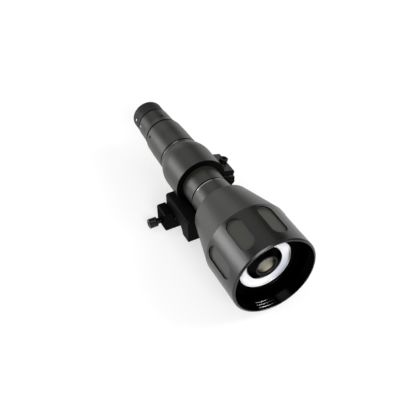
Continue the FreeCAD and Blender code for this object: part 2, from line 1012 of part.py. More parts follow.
def add_ears(body):
    lower_reach = reach_at_side(lower_ear_side, ear_split_top)
    sketch = draw_outline(
        new_sketch(body, "ears_outline", "XZ_Plane", -collar_start),
        along_split(ear_root, ear_top),
        (ear_root, lower_ear_foot - lower_ear_slope),
        (lower_ear_side - lower_ear_slope, lower_ear_foot - lower_ear_slope),
        (lower_ear_side, lower_ear_foot),
        along_split(lower_reach, ear_split_top),
        along_split(ear_reach, ear_split_top),
        along_split(ear_reach, ear_top - ear_bevel),
        along_split(ear_reach - ear_bevel, ear_top),
    )
    extrude(body, "Pad", "ears", sketch, ear_length, reverse=True)


def add_base(body):
    sketch = draw_outline(
        new_sketch(body, "base_outline", "XZ_Plane", -base_start),
        (-base_half_width + base_bevel, base_top),
        (base_half_width - base_bevel, base_top),
        (base_half_width, base_top - base_bevel),
        (base_half_width, hook_bottom + base_bevel),
        (base_half_width - base_bevel, hook_bottom),
        (rail_lower_half_width, hook_bottom),
        (rail_lower_half_width, seat - rail_lower_depth),
        (rail_half_width, seat - rail_upper_depth),
        (rail_seat_half_width, seat),
        (-rail_seat_half_width, seat),
        (-rail_seat_half_width, seat + seat_step),
        (-base_half_width, seat + seat_step),
        (-base_half_width, base_top - base_bevel),
    )
    extrude(body, "Pad", "base", sketch, base_end - base_start, reverse=True)


def cut_tube_way(body):
    """The collar's bore, with the wider saddle in front of it."""
    beyond = edge_break * 4
    revolve(
        body,
        "Groove",
        "tube_way",
        (base_start - beyond, 0),
        (base_start - beyond, saddle_radius),
        (collar_start, saddle_radius),
        (collar_start, collar_bore),
        (collar_end + beyond, collar_bore),
        (collar_end + beyond, 0),
    )


def cut_split(body):
    """The slit between the ears, from the bore out past their ends."""
    outer = reach_at_side(lower_ear_side, ear_split_bottom) + ear_bevel * 2
    sketch = draw_outline(
        new_sketch(body, "split_outline", "XZ_Plane", -(collar_start - ear_bevel)),
        along_split(ear_root, ear_split_bottom),
        along_split(outer, ear_split_bottom),
        along_split(outer, ear_split_top),
        along_split(ear_root, ear_split_top),
    )
    extrude(body, "Pocket", "split", sketch, collar_end - collar_start + ear_bevel * 2)


def cut_base_recess(body):
    """The arched recess in the jaw side of the base."""
    sketch = draw_outline(
        new_sketch(body, "recess_outline", "YZ_Plane", -recess_inner_side),
        (recess_station - recess_radius, seat - base_bevel),
        (recess_station + recess_radius, seat - base_bevel),
        (recess_station + recess_radius, seat),
        HalfRound("left"),
        (recess_station - recess_radius, seat),
    )
    extrude(body, "Pocket", "recess", sketch, base_half_width)


def cut_pin_and_bolt_holes(body):
    pins = new_sketch(body, "jaw_pin_holes_outline", "YZ_Plane", -base_half_width)
    for station in (jaw_pin_first, jaw_pin_second):
        draw_circle(pins, station, jaw_pin_height, jaw_pin_radius)
    extrude(body, "Pocket", "jaw_pin_holes", pins, jaw_pin_root, reverse=True)
    thread = new_sketch(body, "bolt_hole_outline", "YZ_Plane", rail_seat_half_width)
    draw_circle(thread, bolt_station, bolt_height, bolt_radius + turning_gap)
    extrude(body, "Pocket", "bolt_hole", thread, reverse=True)


def cut_bolt_groove(body):
    """The groove across the seat that the upper half of the bolt lies in."""
    half_width = bolt_radius + bolt_slack
    sketch = draw_outline(
        new_sketch(body, "bolt_groove_outline", "YZ_Plane", rail_seat_half_width),
        (bolt_station - half_width, seat - base_bevel),
        (bolt_station + half_width, seat - base_bevel),
        (bolt_station + half_width, bolt_height + half_width),
        (bolt_station - half_width, bolt_height + half_width),
    )
    extrude(body, "Pocket", "bolt_groove", sketch)


def split_sketch(body, name, rise):
    """A sketch square to the ear screw, at a height across the tilted split."""
    sketch = new_sketch(body, name, "XY_Plane")
    level, upright = along_split(ear_screw_reach, rise)
    sketch.AttachmentOffset = Placement(
        Vector(level.value, ear_screw_station.value, upright.value), Rotation(Vector(0, 1, 0), ear_tilt.value)
    )
    bind(sketch, ".AttachmentOffset.Base.x", level)
    bind(sketch, ".AttachmentOffset.Base.y", ear_screw_station)
    bind(sketch, ".AttachmentOffset.Base.z", upright)
    bind(sketch, ".AttachmentOffset.Rotation.Angle", ear_tilt)
    return sketch


def cut_ear_screw_hole(body):
    upper = split_sketch(body, "ear_clearance_outline", ear_top + ear_bevel)
    draw_circle(upper, 0, 0, ear_screw_radius + ear_screw_clearance)
    extrude(body, "Pocket", "ear_clearance", upper, ear_top + ear_bevel - ear_split_bottom)
    lower = split_sketch(body, "ear_thread_outline", ear_split_top)
    draw_circle(lower, 0, 0, ear_screw_radius)
    extrude(body, "Pocket", "ear_thread", lower, ear_screw_length - ear_top + ear_split_top + ear_bevel)


def mount_body():
    body = turned(
        "mount_body",
        (collar_start, 0),
        (collar_start, collar_radius),
        (collar_shoulder, collar_radius),
        Bend(collar_bulge_radius * 2, "right"),
        (collar_foot, collar_foot_radius),
        (collar_rear_start, collar_rear_radius),
        (collar_end, collar_rear_radius),
        (collar_end, 0),
    )
    add_ears(body)
    add_base(body)
    cut_tube_way(body)
    cut_split(body)
    cut_base_recess(body)
    cut_pin_and_bolt_holes(body)
    cut_bolt_groove(body)
    cut_ear_screw_hole(body)


def ear_screw():
    """The socket-head screw that closes the collar, drawn upright and tilted with the ears."""
    body = doc.addObject("PartDesign::Body", "clamp_screw")
    body.Label = "clamp_screw"
    sub_parts.append(body)
    level, upright = along_split(ear_screw_reach, ear_top)
    station = ear_screw_station - rim_to_seat
    height = upright + axis_height
    body.Placement = Placement(
        Vector(level.value, station.value, height.value), Rotation(Vector(0, 1, 0), ear_tilt.value)
    )
    bind(body, ".Placement.Base.x", level)
    bind(body, ".Placement.Base.y", station)
    bind(body, ".Placement.Base.z", height)
    bind(body, ".Placement.Rotation.Angle", ear_tilt)
    head = draw_circle(new_sketch(body, "head_outline", "XY_Plane"), 0, 0, ear_screw_head_radius)
    extrude(body, "Pad", "head", head, ear_screw_head_height)
    shank = draw_circle(new_sketch(body, "shank_outline", "XY_Plane"), 0, 0, ear_screw_radius)
    extrude(body, "Pad", "shank", shank, ear_screw_length, reverse=True)
    socket = draw_hexagon(
        new_sketch(body, "socket_outline", "XY_Plane", ear_screw_head_height), as_size(0), as_size(0),
        ear_screw_socket
    )
    extrude(body, "Pocket", "socket", socket, ear_screw_socket_depth)


# The clamp jaw, its guide pins and its bolt.


def clamp_jaw():
    body = new_body("clamp_jaw")
    arm_top = seat - jaw_gap
    sketch = draw_outline(
        new_sketch(body, "jaw_section", "XZ_Plane", -jaw_start),
        (jaw_outer + jaw_bevel, jaw_top),
        (jaw_inner, jaw_top),
        (jaw_inner, arm_top),
        (-rail_seat_half_width - jaw_gap, arm_top),
        (-rail_half_width, seat - rail_upper_depth),
        (-rail_lower_half_width, seat - rail_lower_depth),
        (-rail_lower_half_width, hook_bottom),
        (jaw_outer + jaw_bevel, hook_bottom),
        (jaw_outer, hook_bottom + jaw_bevel),
        (jaw_outer, jaw_top - jaw_bevel),
    )
    extrude(body, "Pad", "jaw", sketch, jaw_end - jaw_start, reverse=True)
    pins = new_sketch(body, "pin_holes_outline", "YZ_Plane", -base_half_width)
    for station in (jaw_pin_first, jaw_pin_second):
        draw_circle(pins, station, jaw_pin_height, jaw_pin_radius + turning_gap)
    extrude(body, "Pocket", "pin_holes", pins, jaw_pin_reach + jaw_gap * 3)
    way = new_sketch(body, "bolt_way_outline", "YZ_Plane", jaw_outer)
    draw_circle(way, bolt_station, bolt_height, bolt_radius + bolt_slack)
    extrude(body, "Pocket", "bolt_way", way, reverse=True)
    dimples = new_sketch(body, "dimples_outline", "YZ_Plane", jaw_outer)
    draw_circle(dimples, upper_dimple_station, upper_dimple_height, dimple_radius)
    draw_circle(dimples, lower_dimple_station, lower_dimple_height, dimple_radius)
    extrude(body, "Pocket", "dimples", dimples, dimple_depth, reverse=True)


def jaw_guide_pins():
    body = new_body("jaw_guide_pins")
    body.AllowCompound = True
    sketch = new_sketch(body, "jaw_pins_outline", "YZ_Plane", -base_half_width - jaw_pin_reach)
    for station in (jaw_pin_first, jaw_pin_second):
        draw_circle(sketch, station, jaw_pin_height, jaw_pin_radius)
    extrude(body, "Pad", "jaw_pins", sketch, jaw_pin_reach + jaw_pin_root)


def across_rail(label):
    """A body drawn about the bolt's line, its own y running across the rail towards +X."""
    body = doc.addObject("PartDesign::Body", label)
    body.Label = label
    sub_parts.append(body)
    station = bolt_station - rim_to_seat
    height = bolt_height + axis_height
    body.Placement = Placement(Vector(0, station.value, height.value), Rotation(Vector(0, 0, 1), -90))
    bind(body, ".Placement.Base.y", station)
    bind(body, ".Placement.Base.z", height)
    return body


def clamp_bolt():
    body = across_rail("clamp_bolt")
    head_end = bolt_head_inner - bolt_head_height
    revolve(
        body,
        "Revolution",
        "bolt_turning",
        (head_end, 0),
        (head_end, bolt_head_radius - edge_break),
        (head_end + edge_break, bolt_head_radius),
        (bolt_head_inner, bolt_head_radius),
        (bolt_head_inner, bolt_radius),
        (bolt_tip - edge_break, bolt_radius),
        (bolt_tip, bolt_radius - edge_break),
        (bolt_tip, 0),
    )
    socket = draw_hexagon(
        new_sketch(body, "bolt_socket_outline", "XZ_Plane", -head_end), as_size(0), as_size(0), bolt_socket
    )
    extrude(body, "Pocket", "bolt_socket_cut", socket, bolt_socket_depth)
    half_pitch = bolt_thread_pitch / 2 * 0.9
    thread = revolve(
        body,
        "Groove",
        "bolt_thread",
        (bolt_thread_start - half_pitch, bolt_radius),
        (bolt_thread_start, bolt_radius - bolt_thread_depth),
        (bolt_thread_start + half_pitch, bolt_radius),
    )
    repeat_along(body, thread, "Y_Axis", bolt_thread_pitch, bolt_thread_turns)


def bolt_washer():
    body = across_rail("bolt_washer")
    inner = bolt_head_inner + bolt_washer_thickness
    outer = bolt_head_inner + face_gap
    bore = bolt_radius + turning_gap
    revolve(
        body,
        "Revolution",
        "washer_turning",
        (outer, bore),
        (inner, bore),
        (inner, bolt_washer_radius),
        (outer, bolt_washer_radius),
    )


# The optics.


def optic_carrier():
    body = turned(
        "optic_carrier",
        (carrier_start, ring_outer_radius),
        (carrier_start, carrier_radius),
        (carrier_end, carrier_radius),
        (carrier_end, lens_barrel_radius),
        (carrier_wall_start, lens_barrel_radius),
        (carrier_wall_start, carrier_hollow_radius),
        (dish_seat + dish_thickness, carrier_hollow_radius),
        (dish_seat + dish_thickness, carrier_lip_radius - edge_break * 3),
        (dish_seat, carrier_lip_radius - edge_break * 3),
        (dish_seat, carrier_lip_radius),
        (dish_front, carrier_lip_radius),
        (dish_front, ring_outer_radius),
    )
    sketch = new_sketch(body, "guide_holes_outline", "XZ_Plane", -carrier_wall_start)
    draw_circle(sketch, 0, guide_pin_circle, guide_pin_radius + turning_gap)
    hole = extrude(body, "Pocket", "guide_hole", sketch, carrier_end - carrier_wall_start)
    repeat_round(body, hole, guide_pin_count)


def retaining_ring():
    body = turned(
        "retaining_ring",
        (ring_start, ring_step_radius),
        (ring_start, ring_outer_radius),
        (dish_front, ring_outer_radius),
        (dish_front, ring_inner_radius),
        (ring_step_start + edge_break, ring_inner_radius),
        (ring_step_start, ring_inner_radius + edge_break),
        (ring_step_start, ring_step_radius),
    )
    sketch = new_sketch(body, "key_slot_outline", "XZ_Plane", -ring_start)
    half_slot = (ring_outer_radius - ring_step_radius) / 4
    draw_outline(
        sketch,
        (-half_slot, ring_step_radius - half_slot),
        (half_slot, ring_step_radius - half_slot),
        (half_slot, ring_step_radius + half_slot * 3),
        (-half_slot, ring_step_radius + half_slot * 3),
    )
    slot = extrude(body, "Pocket", "key_slot", sketch, (ring_step_start - ring_start) * 0.8)
    repeat_round(body, slot, 2)


def reflector_dish():
    hole = lens_barrel_radius + dish_hole_gap
    turned(
        "reflector_dish",
        (dish_front, bead_radius + bead_half_width),
        (dish_front, dish_flange_radius),
        (dish_seat, dish_flange_radius),
        (bowl_bottom + dish_thickness, hole),
        (bowl_bottom, hole),
        Bend(bowl_bend_radius, "left"),
        (bead_front + bead_half_width, bead_radius - bead_half_width),
        HalfRound("right"),
        (bead_front + bead_half_width, bead_radius + bead_half_width),
    )


def lens_barrel():
    pocket = lens_radius + lens_pocket_gap
    turned(
        "lens_barrel",
        (nose_start, lens_ring_radius),
        (nose_start, nose_radius),
        (barrel_shoulder, lens_barrel_radius),
        (carrier_end, lens_barrel_radius),
        (carrier_end, barrel_rear_radius),
        (barrel_rear_start, barrel_rear_radius),
        (barrel_rear_start, barrel_throat_radius),
        (lens_seat, barrel_throat_radius),
        (lens_seat, pocket),
        (lens_edge_front, pocket),
        (lens_edge_front, lens_ring_radius),
    )


def lens_retainer():
    turned(
        "lens_retainer",
        (lens_ring_start, lens_ring_bore + edge_break),
        (lens_ring_start, lens_ring_radius),
        (lens_edge_front, lens_ring_radius),
        (lens_edge_front, lens_ring_bore),
        (lens_ring_start + edge_break, lens_ring_bore),
    )


def emitter_lens():
    """A lens with a flat back; its front bulges forward inside the retainer's bore."""
    crown = lens_ring_bore - edge_break
    flat_drop = lens_front_radius - square_root(lens_front_radius * lens_front_radius - crown * crown)
    turned(
        "emitter_lens",
        (lens_edge_front - flat_drop, 0),
        (lens_seat, 0),
        (lens_seat, lens_radius),
        (lens_edge_front, lens_radius),
        (lens_edge_front, crown),
        Bend(lens_front_radius, "left"),
    )


# The tail and its power dial.


def tail_housing():
    body = turned(
        "tail_housing",
        (tail_start, tail_bore),
        (tail_start, tail_start_radius - edge_break),
        (tail_start + edge_break, tail_start_radius),
        (tail_waist, tail_waist_radius),
        (tail_end - edge_break, tail_end_radius),
        (tail_end, tail_end_radius - edge_break),
        (tail_end, bush_radius),
        (dimmer_end, bush_radius),
        (dimmer_end, tail_bore),
    )
    radial_hole(body, "grub_hole", tail_grub_station, tail_grub_angle, grub_radius, spigot_radius)
    dot_floor = tail_end_radius - dot_depth
    radial_hole(body, "dot_hole", tail_dot_station, dot_angle, dot_radius, dot_floor)


def contact_board():
    rod("contact_board", contact_board_radius, contact_board_start, contact_board_end)


def tail_spring():
    """A coil that presses the battery forward, made of flat half turns that meet smoothly."""
    wire = doc.addObject("Part::Circle", "spring_wire_section")
    bind(wire, "Radius", spring_wire)
    wire.Placement = Placement(Vector(spring_radius.value, 0, 0), Rotation(Vector(1, 0, 0), 90))
    bind(wire, ".Placement.Base.x", spring_radius)
    length = contact_board_start - battery_end - spring_wire * 2
    rise = length.value / (spring_turns * 2)
    half_turns = []
    for index in range(spring_turns * 2):
        side = 1 if index % 2 == 0 else -1
        start = Vector(spring_radius.value * side, 0, rise * index)
        end = Vector(-spring_radius.value * side, 0, rise * (index + 1))
        crest = (start + end) * 0.5 + Vector(0, (end - start).Length / 2 * side, 0)
        half_turns.append(Part.Arc(start, crest, end).toShape())
    coil = doc.addObject("Part::Feature", "spring_line")
    coil.Shape = Part.Wire(half_turns)
    spring = doc.addObject("Part::Sweep", "tail_spring")
    spring.Label = "tail_spring"
    spring.Sections = [wire]
    spring.Spine = (coil, ["Edge%d" % (index + 1) for index in range(len(half_turns))])
    spring.Solid = True
    station = battery_end + spring_wire - rim_to_seat
    spring.Placement = Placement(Vector(0, station.value, axis_height.value), Rotation(Vector(1, 0, 0), -90))
    bind(spring, ".Placement.Base.y", station)
    bind(spring, ".Placement.Base.z", axis_height)
    sub_parts.append(spring)


def potentiometer():
    turned(
        "potentiometer",
        (contact_board_end, 0),
        (contact_board_end, dimmer_radius),
        (dimmer_end, dimmer_radius),
        (dimmer_end, bush_radius),
        (bush_end, bush_radius),
        (bush_end, bush_bore),
        (spindle_start - face_gap, bush_bore),
        (spindle_start - face_gap, 0),
    )


def pot_nut():
    body = new_body("pot_nut")
    sketch = new_sketch(body, "nut_outline", "XZ_Plane", -tail_end)
    draw_hexagon(sketch, as_size(0), as_size(0), dimmer_nut_radius * 2)
    extrude(body, "Pad", "nut", sketch, dimmer_nut_height, reverse=True)
    bore = draw_circle(new_sketch(body, "nut_bore_outline", "XZ_Plane", -tail_end), 0, 0, bush_radius)
    extrude(body, "Pocket", "nut_bore", bore, dimmer_nut_height)


def radial_piece(label, station, turn, floor, radius, top):
    """A short round piece that stands on a floor radius, drawn upright and turned round the tube."""
    body = doc.addObject("PartDesign::Body", label)
    body.Label = label
    sub_parts.append(body)
    side = floor * sine(turn)
    rise = floor * cosine(turn) + axis_height
    place = station - rim_to_seat
    body.Placement = Placement(
        Vector(side.value, place.value, rise.value), Rotation(Vector(0, 1, 0), turn.value)
    )
    bind(body, ".Placement.Base.x", side)
    bind(body, ".Placement.Base.y", place)
    bind(body, ".Placement.Base.z", rise)
    bind(body, ".Placement.Rotation.Angle", turn)
    sketch = draw_circle(new_sketch(body, label + "_outline", "XY_Plane"), 0, 0, radius)
    extrude(body, "Pad", label + "_height", sketch, top - floor)
    return body


def grub_screw(label, station, turn, floor, top):
    body = radial_piece(label, station, turn, floor, grub_radius, top)
    socket = new_sketch(body, label + "_socket_outline", "XY_Plane", top - floor)
    draw_hexagon(socket, as_size(0), as_size(0), grub_socket)
    extrude(body, "Pocket", label + "_socket", socket, grub_socket_depth)


def power_dial():
    body = turned(
        "power_dial",
        (dial_start, dial_cavity_radius),
        (dial_start, dial_radius - dial_front_bevel),
        (dial_start + dial_front_bevel, dial_radius),
        (dial_end - dial_round, dial_radius),
        Bend(dial_round, "right"),
        (dial_end, dial_radius - dial_round),
        (dial_end, 0),
        (spindle_end, 0),
        (spindle_end, spindle_radius),
        (dial_cavity_end, spindle_radius),
        (dial_cavity_end, dial_cavity_radius),
    )
    sketch = new_sketch(body, "dial_groove_outline", "XZ_Plane", -dial_groove_start)
    draw_outline(
        sketch,
        (0, dial_radius - dial_groove_depth),
        (dial_groove_width / 2, dial_radius + dial_groove_depth),
        (-dial_groove_width / 2, dial_radius + dial_groove_depth),
    )
    groove = extrude(body, "Pocket", "dial_groove", sketch, dial_groove_end - dial_groove_start)
    repeat_round(body, groove, dial_groove_count)
    radial_hole(body, "grub_hole", dial_grub_station, dial_grub_angle, grub_radius, spindle_radius)
    radial_hole(body, "dot_hole", dial_dot_station, dot_angle, dot_radius, dial_radius - dot_depth)


def dial_spindle():
    rod("dial_spindle", spindle_radius, spindle_start, spindle_end)


# Every sub-part in turn.

battery_tube()
mount_body()
ear_screw()
jaw_guide_pins()
heat_sink()
guide_pins()
emitter_board()
emitter_dome()
emitter_leads()
rod("driver_board", driver_board_radius, plug_end, driver_board_end)
rod("front_contact", contact_radius, driver_board_end, battery_start)
battery()
head_nut()
seam_washer()
rubber_ring("head_o_ring", head_ring_station, journal_radius - head_ring_section, head_ring_section)
rubber_ring("tail_o_ring", tail_ring_station, spigot_radius - tail_ring_section, tail_ring_section)
grub_screw(
    "tube_set_screw",
    tube_grub_station,
    tube_grub_angle,
    shoulder_start_radius - tube_grub_depth,
    shoulder_start_radius - grub_sink,
)
head_shell()
optic_carrier()
retaining_ring()
reflector_dish()
lens_barrel()
emitter_lens()
lens_retainer()
clamp_jaw()
bolt_washer()
clamp_bolt()
tail_housing()
contact_board()
tail_spring()
potentiometer()
pot_nut()
mark_floor = tail_end_radius - dot_depth
radial_piece("index_mark", tail_dot_station, dot_angle, mark_floor, dot_radius, tail_end_radius)
housing_screw_top = tail_waist_radius - grub_sink
grub_screw("housing_set_screw", tail_grub_station, tail_grub_angle, spigot_radius, housing_screw_top)
power_dial()
dial_spindle()
radial_piece("index_dot", dial_dot_station, dot_angle, dial_radius - dot_depth, dot_radius, dial_radius)
grub_screw("dial_set_screw", dial_grub_station, dial_grub_angle, spindle_radius, dial_radius - grub_sink * 2)

doc.recompute()


def check_document():
    """Stops the build where a feature failed or a cut took nothing away."""
    for thing in doc.Objects:
        if "Invalid" in thing.State or "Error" in thing.State:
            raise RuntimeError("%s failed: %s" % (thing.Name, thing.State))
        if not hasattr(thing, "Shape") or thing.isDerivedFrom("App::Origin"):
            continue
        if thing.isDerivedFrom("PartDesign::Feature"):
            if thing.Shape.isNull() or not thing.Shape.isValid():
                raise RuntimeError("%s has a bad shape" % thing.Name)
        if thing.TypeId in ("PartDesign::Pocket", "PartDesign::Groove"):
            if thing.Shape.Volume > thing.BaseFeature.Shape.Volume - 1e-3:
                raise RuntimeError("%s cut nothing" % thing.Name)
    for part in sub_parts:
        if part.Shape.isNull() or not part.Shape.isValid() or part.Shape.Volume < 1e-3:
            raise RuntimeError("%s has no sound solid" % part.Label)


check_document()
os.makedirs("parts", exist_ok=True)
for part in sub_parts:
    part.Shape.exportStep("parts/%s.step" % part.Label)
print("%d sub-parts written" % len(sub_parts))
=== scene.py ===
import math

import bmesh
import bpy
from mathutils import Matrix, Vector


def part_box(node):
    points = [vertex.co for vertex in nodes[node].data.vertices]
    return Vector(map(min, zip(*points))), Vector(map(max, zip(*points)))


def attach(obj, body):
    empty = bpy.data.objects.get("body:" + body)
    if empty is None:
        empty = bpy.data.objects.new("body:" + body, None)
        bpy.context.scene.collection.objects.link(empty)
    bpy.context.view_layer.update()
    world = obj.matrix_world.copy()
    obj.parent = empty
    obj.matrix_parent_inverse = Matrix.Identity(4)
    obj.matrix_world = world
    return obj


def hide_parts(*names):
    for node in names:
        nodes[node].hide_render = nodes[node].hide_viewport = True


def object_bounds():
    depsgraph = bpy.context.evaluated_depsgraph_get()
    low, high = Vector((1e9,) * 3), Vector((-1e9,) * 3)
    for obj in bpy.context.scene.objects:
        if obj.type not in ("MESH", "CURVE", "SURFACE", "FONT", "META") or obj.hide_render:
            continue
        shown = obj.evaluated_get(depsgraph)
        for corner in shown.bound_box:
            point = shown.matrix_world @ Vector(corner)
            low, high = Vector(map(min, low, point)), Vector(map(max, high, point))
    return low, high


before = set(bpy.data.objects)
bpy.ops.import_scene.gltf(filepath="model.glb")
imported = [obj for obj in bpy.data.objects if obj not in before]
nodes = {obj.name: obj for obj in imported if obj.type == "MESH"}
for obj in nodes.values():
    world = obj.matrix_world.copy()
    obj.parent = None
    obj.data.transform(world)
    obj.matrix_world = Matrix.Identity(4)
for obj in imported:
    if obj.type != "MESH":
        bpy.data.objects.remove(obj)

# %% [markdown]
# # A battery-powered infrared illuminator on its rail clamp
#
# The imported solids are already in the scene, in metres, each at its true place. What is left
# for Blender is what a machinist would call the finish: the satin black of anodised aluminium,
# the bright ring at the seam, the white dish and the amber lens behind the rim, and the one
# piece whose fine relief is easier to model here than to turn in CAD, the knurled clamp bolt.

TO_MM = 1000.0

cad_low, cad_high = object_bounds()
print("solids span", [round(side * TO_MM, 1) for side in cad_high - cad_low], "mm")

# %% [markdown]
# Nearly everything here is turned about one line: the tube's axis. It runs along Y at the
# height of the battery tube's middle, so its place is read from that solid's box instead of
# being typed in again.

# %% The tube's axis and the height of the table
tube_low, tube_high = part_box("battery_tube")
AXIS_HEIGHT = (tube_low.z + tube_high.z) / 2
TABLE_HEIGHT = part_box("mount_body")[0].z
print("axis at", round(AXIS_HEIGHT * TO_MM, 2), "mm")
print("table at", round(TABLE_HEIGHT * TO_MM, 2), "mm")

# %% [markdown]
# ## The camera
#
# The picture looks down on the torch from the front left. The camera's place and its three
# turns were found by lining up the rims and seams. The lens is long, about 60 mm on a full
# frame, and a small shift keeps the view's centre where it was.

# %% Camera at the picture's angle
PICTURE_WIDTH = 420
FOCAL_PIXELS = 695.33
VIEW_CENTRE = (213.31, 213.0)
SENSOR_WIDTH = 36.0
CAMERA_PLACE = Vector((-0.14481, -0.29155, AXIS_HEIGHT + 0.2838))
CAMERA_AZIMUTH = math.radians(-27.157)
CAMERA_ELEVATION = math.radians(43.054)
CAMERA_ROLL = math.radians(-0.771)
NEAREST_SEEN = 0.01


def clear_selection():
    bpy.ops.object.select_all(action="DESELECT")


def camera_matrix():
    """The camera's turns as a matrix whose columns point right, up and back."""
    flat = math.cos(CAMERA_ELEVATION)
    back = Vector((
        math.sin(CAMERA_AZIMUTH) * flat,
        -math.cos(CAMERA_AZIMUTH) * flat,
        math.sin(CAMERA_ELEVATION),
    ))
    level = Vector((math.cos(CAMERA_AZIMUTH), math.sin(CAMERA_AZIMUTH), 0))
    upright = back.cross(level)
    right = level * math.cos(CAMERA_ROLL) + upright * math.sin(CAMERA_ROLL)
    up = upright * math.cos(CAMERA_ROLL) - level * math.sin(CAMERA_ROLL)
    turn = Matrix((right, up, back)).transposed().to_4x4()
    return Matrix.Translation(CAMERA_PLACE) @ turn


clear_selection()
bpy.ops.object.camera_add()
camera = bpy.context.object
camera.name = "picture_camera"
camera.matrix_world = camera_matrix()
camera.data.sensor_width = SENSOR_WIDTH
camera.data.lens = SENSOR_WIDTH * FOCAL_PIXELS / PICTURE_WIDTH
camera.data.shift_x = (PICTURE_WIDTH / 2 - VIEW_CENTRE[0]) / PICTURE_WIDTH
camera.data.shift_y = (VIEW_CENTRE[1] - PICTURE_WIDTH / 2) / PICTURE_WIDTH
camera.data.clip_start = NEAREST_SEEN
bpy.context.scene.camera = camera
print("lens", round(camera.data.lens, 1), "mm")

# %% [markdown]
# ## Wiring nodes
#
# Every material is a graph of small nodes, and so is the light round the torch. These helpers
# each add one node and hand back its output, which keeps the wiring short enough to read.

# %% Helpers that wire nodes


def feed(tree, socket, value):
    """Gives an input a plain value, or links another node's output to it."""
    if isinstance(value, bpy.types.NodeSocket):
        tree.links.new(value, socket)
    else:
        socket.default_value = value


def add_math(tree, operation, first, second=None):
    """One Math node; each value may be a number or another node's output."""
    node = tree.nodes.new("ShaderNodeMath")
    node.operation = operation
    feed(tree, node.inputs[0], first)
    if second is not None:
        feed(tree, node.inputs[1], second)
    return node.outputs[0]


def add_fade(tree, value, start, end, top=1.0):
    """A mask that is 0 at start and top at end, whichever of the two is larger."""
    fade = tree.nodes.new("ShaderNodeMapRange")
    fade.interpolation_type = "SMOOTHSTEP"
    feed(tree, fade.inputs["Value"], value)
    feed(tree, fade.inputs["From Min"], start)
    feed(tree, fade.inputs["From Max"], end)
    fade.inputs["To Max"].default_value = top
    return fade.outputs["Result"]


def mix_shaders(tree, mask, first, second):
    """The first shader where the mask is 0 and the second where it is 1."""
    mix = tree.nodes.new("ShaderNodeMixShader")
    feed(tree, mix.inputs["Fac"], mask)
    feed(tree, mix.inputs[1], first)
    feed(tree, mix.inputs[2], second)
    return mix.outputs[0]


# %% [markdown]
# ## Table and light
#
# The torch stands on a white table in a light tent. The table is one large sheet. A camera
# ray that meets it sees mostly plain white, mixed with the real lit surface, so the table
# goes white and still keeps the soft shadow under the clamp. A ray that a glossy face mirrors,
# or that passes through the lens, sees the same mixture.

# %% White table that keeps a soft shadow
TABLE_SIZE = 2.4
TABLE_TONE = (0.9, 0.9, 0.9)
SHADOW_SHARE = 0.45
TABLE_GLOW = 1.15


def white_table_material():
    material = bpy.data.materials.new("white table")
    material.use_nodes = True
    tree = material.node_tree
    tree.nodes.clear()
    lit = tree.nodes.new("ShaderNodeBsdfDiffuse")
    lit.inputs["Color"].default_value = (*TABLE_TONE, 1)
    glow = tree.nodes.new("ShaderNodeEmission")
    glow.inputs["Color"].default_value = (1, 1, 1, 1)
    glow.inputs["Strength"].default_value = TABLE_GLOW
    rays = tree.nodes.new("ShaderNodeLightPath").outputs
    indirect = add_math(tree, "MAXIMUM", rays["Is Glossy Ray"], rays["Is Transmission Ray"])
    seen = add_math(tree, "MAXIMUM", rays["Is Camera Ray"], indirect)
    share = add_math(tree, "MULTIPLY", seen, 1 - SHADOW_SHARE)
    surface = mix_shaders(tree, share, lit.outputs[0], glow.outputs[0])
    output = tree.nodes.new("ShaderNodeOutputMaterial")
    tree.links.new(surface, output.inputs["Surface"])
    return material


clear_selection()
bpy.ops.mesh.primitive_plane_add(size=TABLE_SIZE, location=(0, 0, TABLE_HEIGHT))
table = bpy.context.object
table.name = "table"
table.data.materials.append(white_table_material())
print("table is", TABLE_SIZE, "m wide")

# %% [markdown]
# The tent's cloth is the world. The camera sees it as plain white, and so does a ray that has
# passed through the lens. What a satin black part mirrors matters more: the tent is open and
# dark at the front and the top, where the camera looks in, and its cloth glows low on the
# left, behind in a low and a high patch, and low on the right. That is why a black tube has
# bright flanks and a dark middle. Each glow is a soft lobe round one direction, with the two
# angles between which it fades, in degrees, and its strength. A diffuse ray sees an even grey
# instead, so that every colour is lit at a plain level.

# %% Tent cloth all round
TENT_EVEN = 0.55
TENT_DARK = 0.025
TENT_GLOWS = [
    (Vector((-0.8, 0.6, 0.05)), 10.0, 38.0, 2.4),
    (Vector((0.0, 0.97, 0.24)), 4.0, 22.0, 1.0),
    (Vector((0.0, 0.62, 0.78)), 5.0, 32.0, 0.7),
    (Vector((0.76, 0.65, 0.05)), 6.0, 26.0, 1.1),
]


def add_glow(tree, direction, centre, inner, outer, strength):
    """Brightness that falls from strength to nothing between two angles from a direction."""
    nearness = tree.nodes.new("ShaderNodeVectorMath")
    nearness.operation = "DOT_PRODUCT"
    tree.links.new(direction, nearness.inputs[0])
    nearness.inputs[1].default_value = centre.normalized()
    start, end = math.cos(math.radians(outer)), math.cos(math.radians(inner))
    return add_fade(tree, nearness.outputs["Value"], start, end, top=strength)


def add_background(tree, strength):
    background = tree.nodes.new("ShaderNodeBackground")
    background.inputs["Color"].default_value = (1, 1, 1, 1)
    feed(tree, background.inputs["Strength"], strength)
    return background.outputs[0]


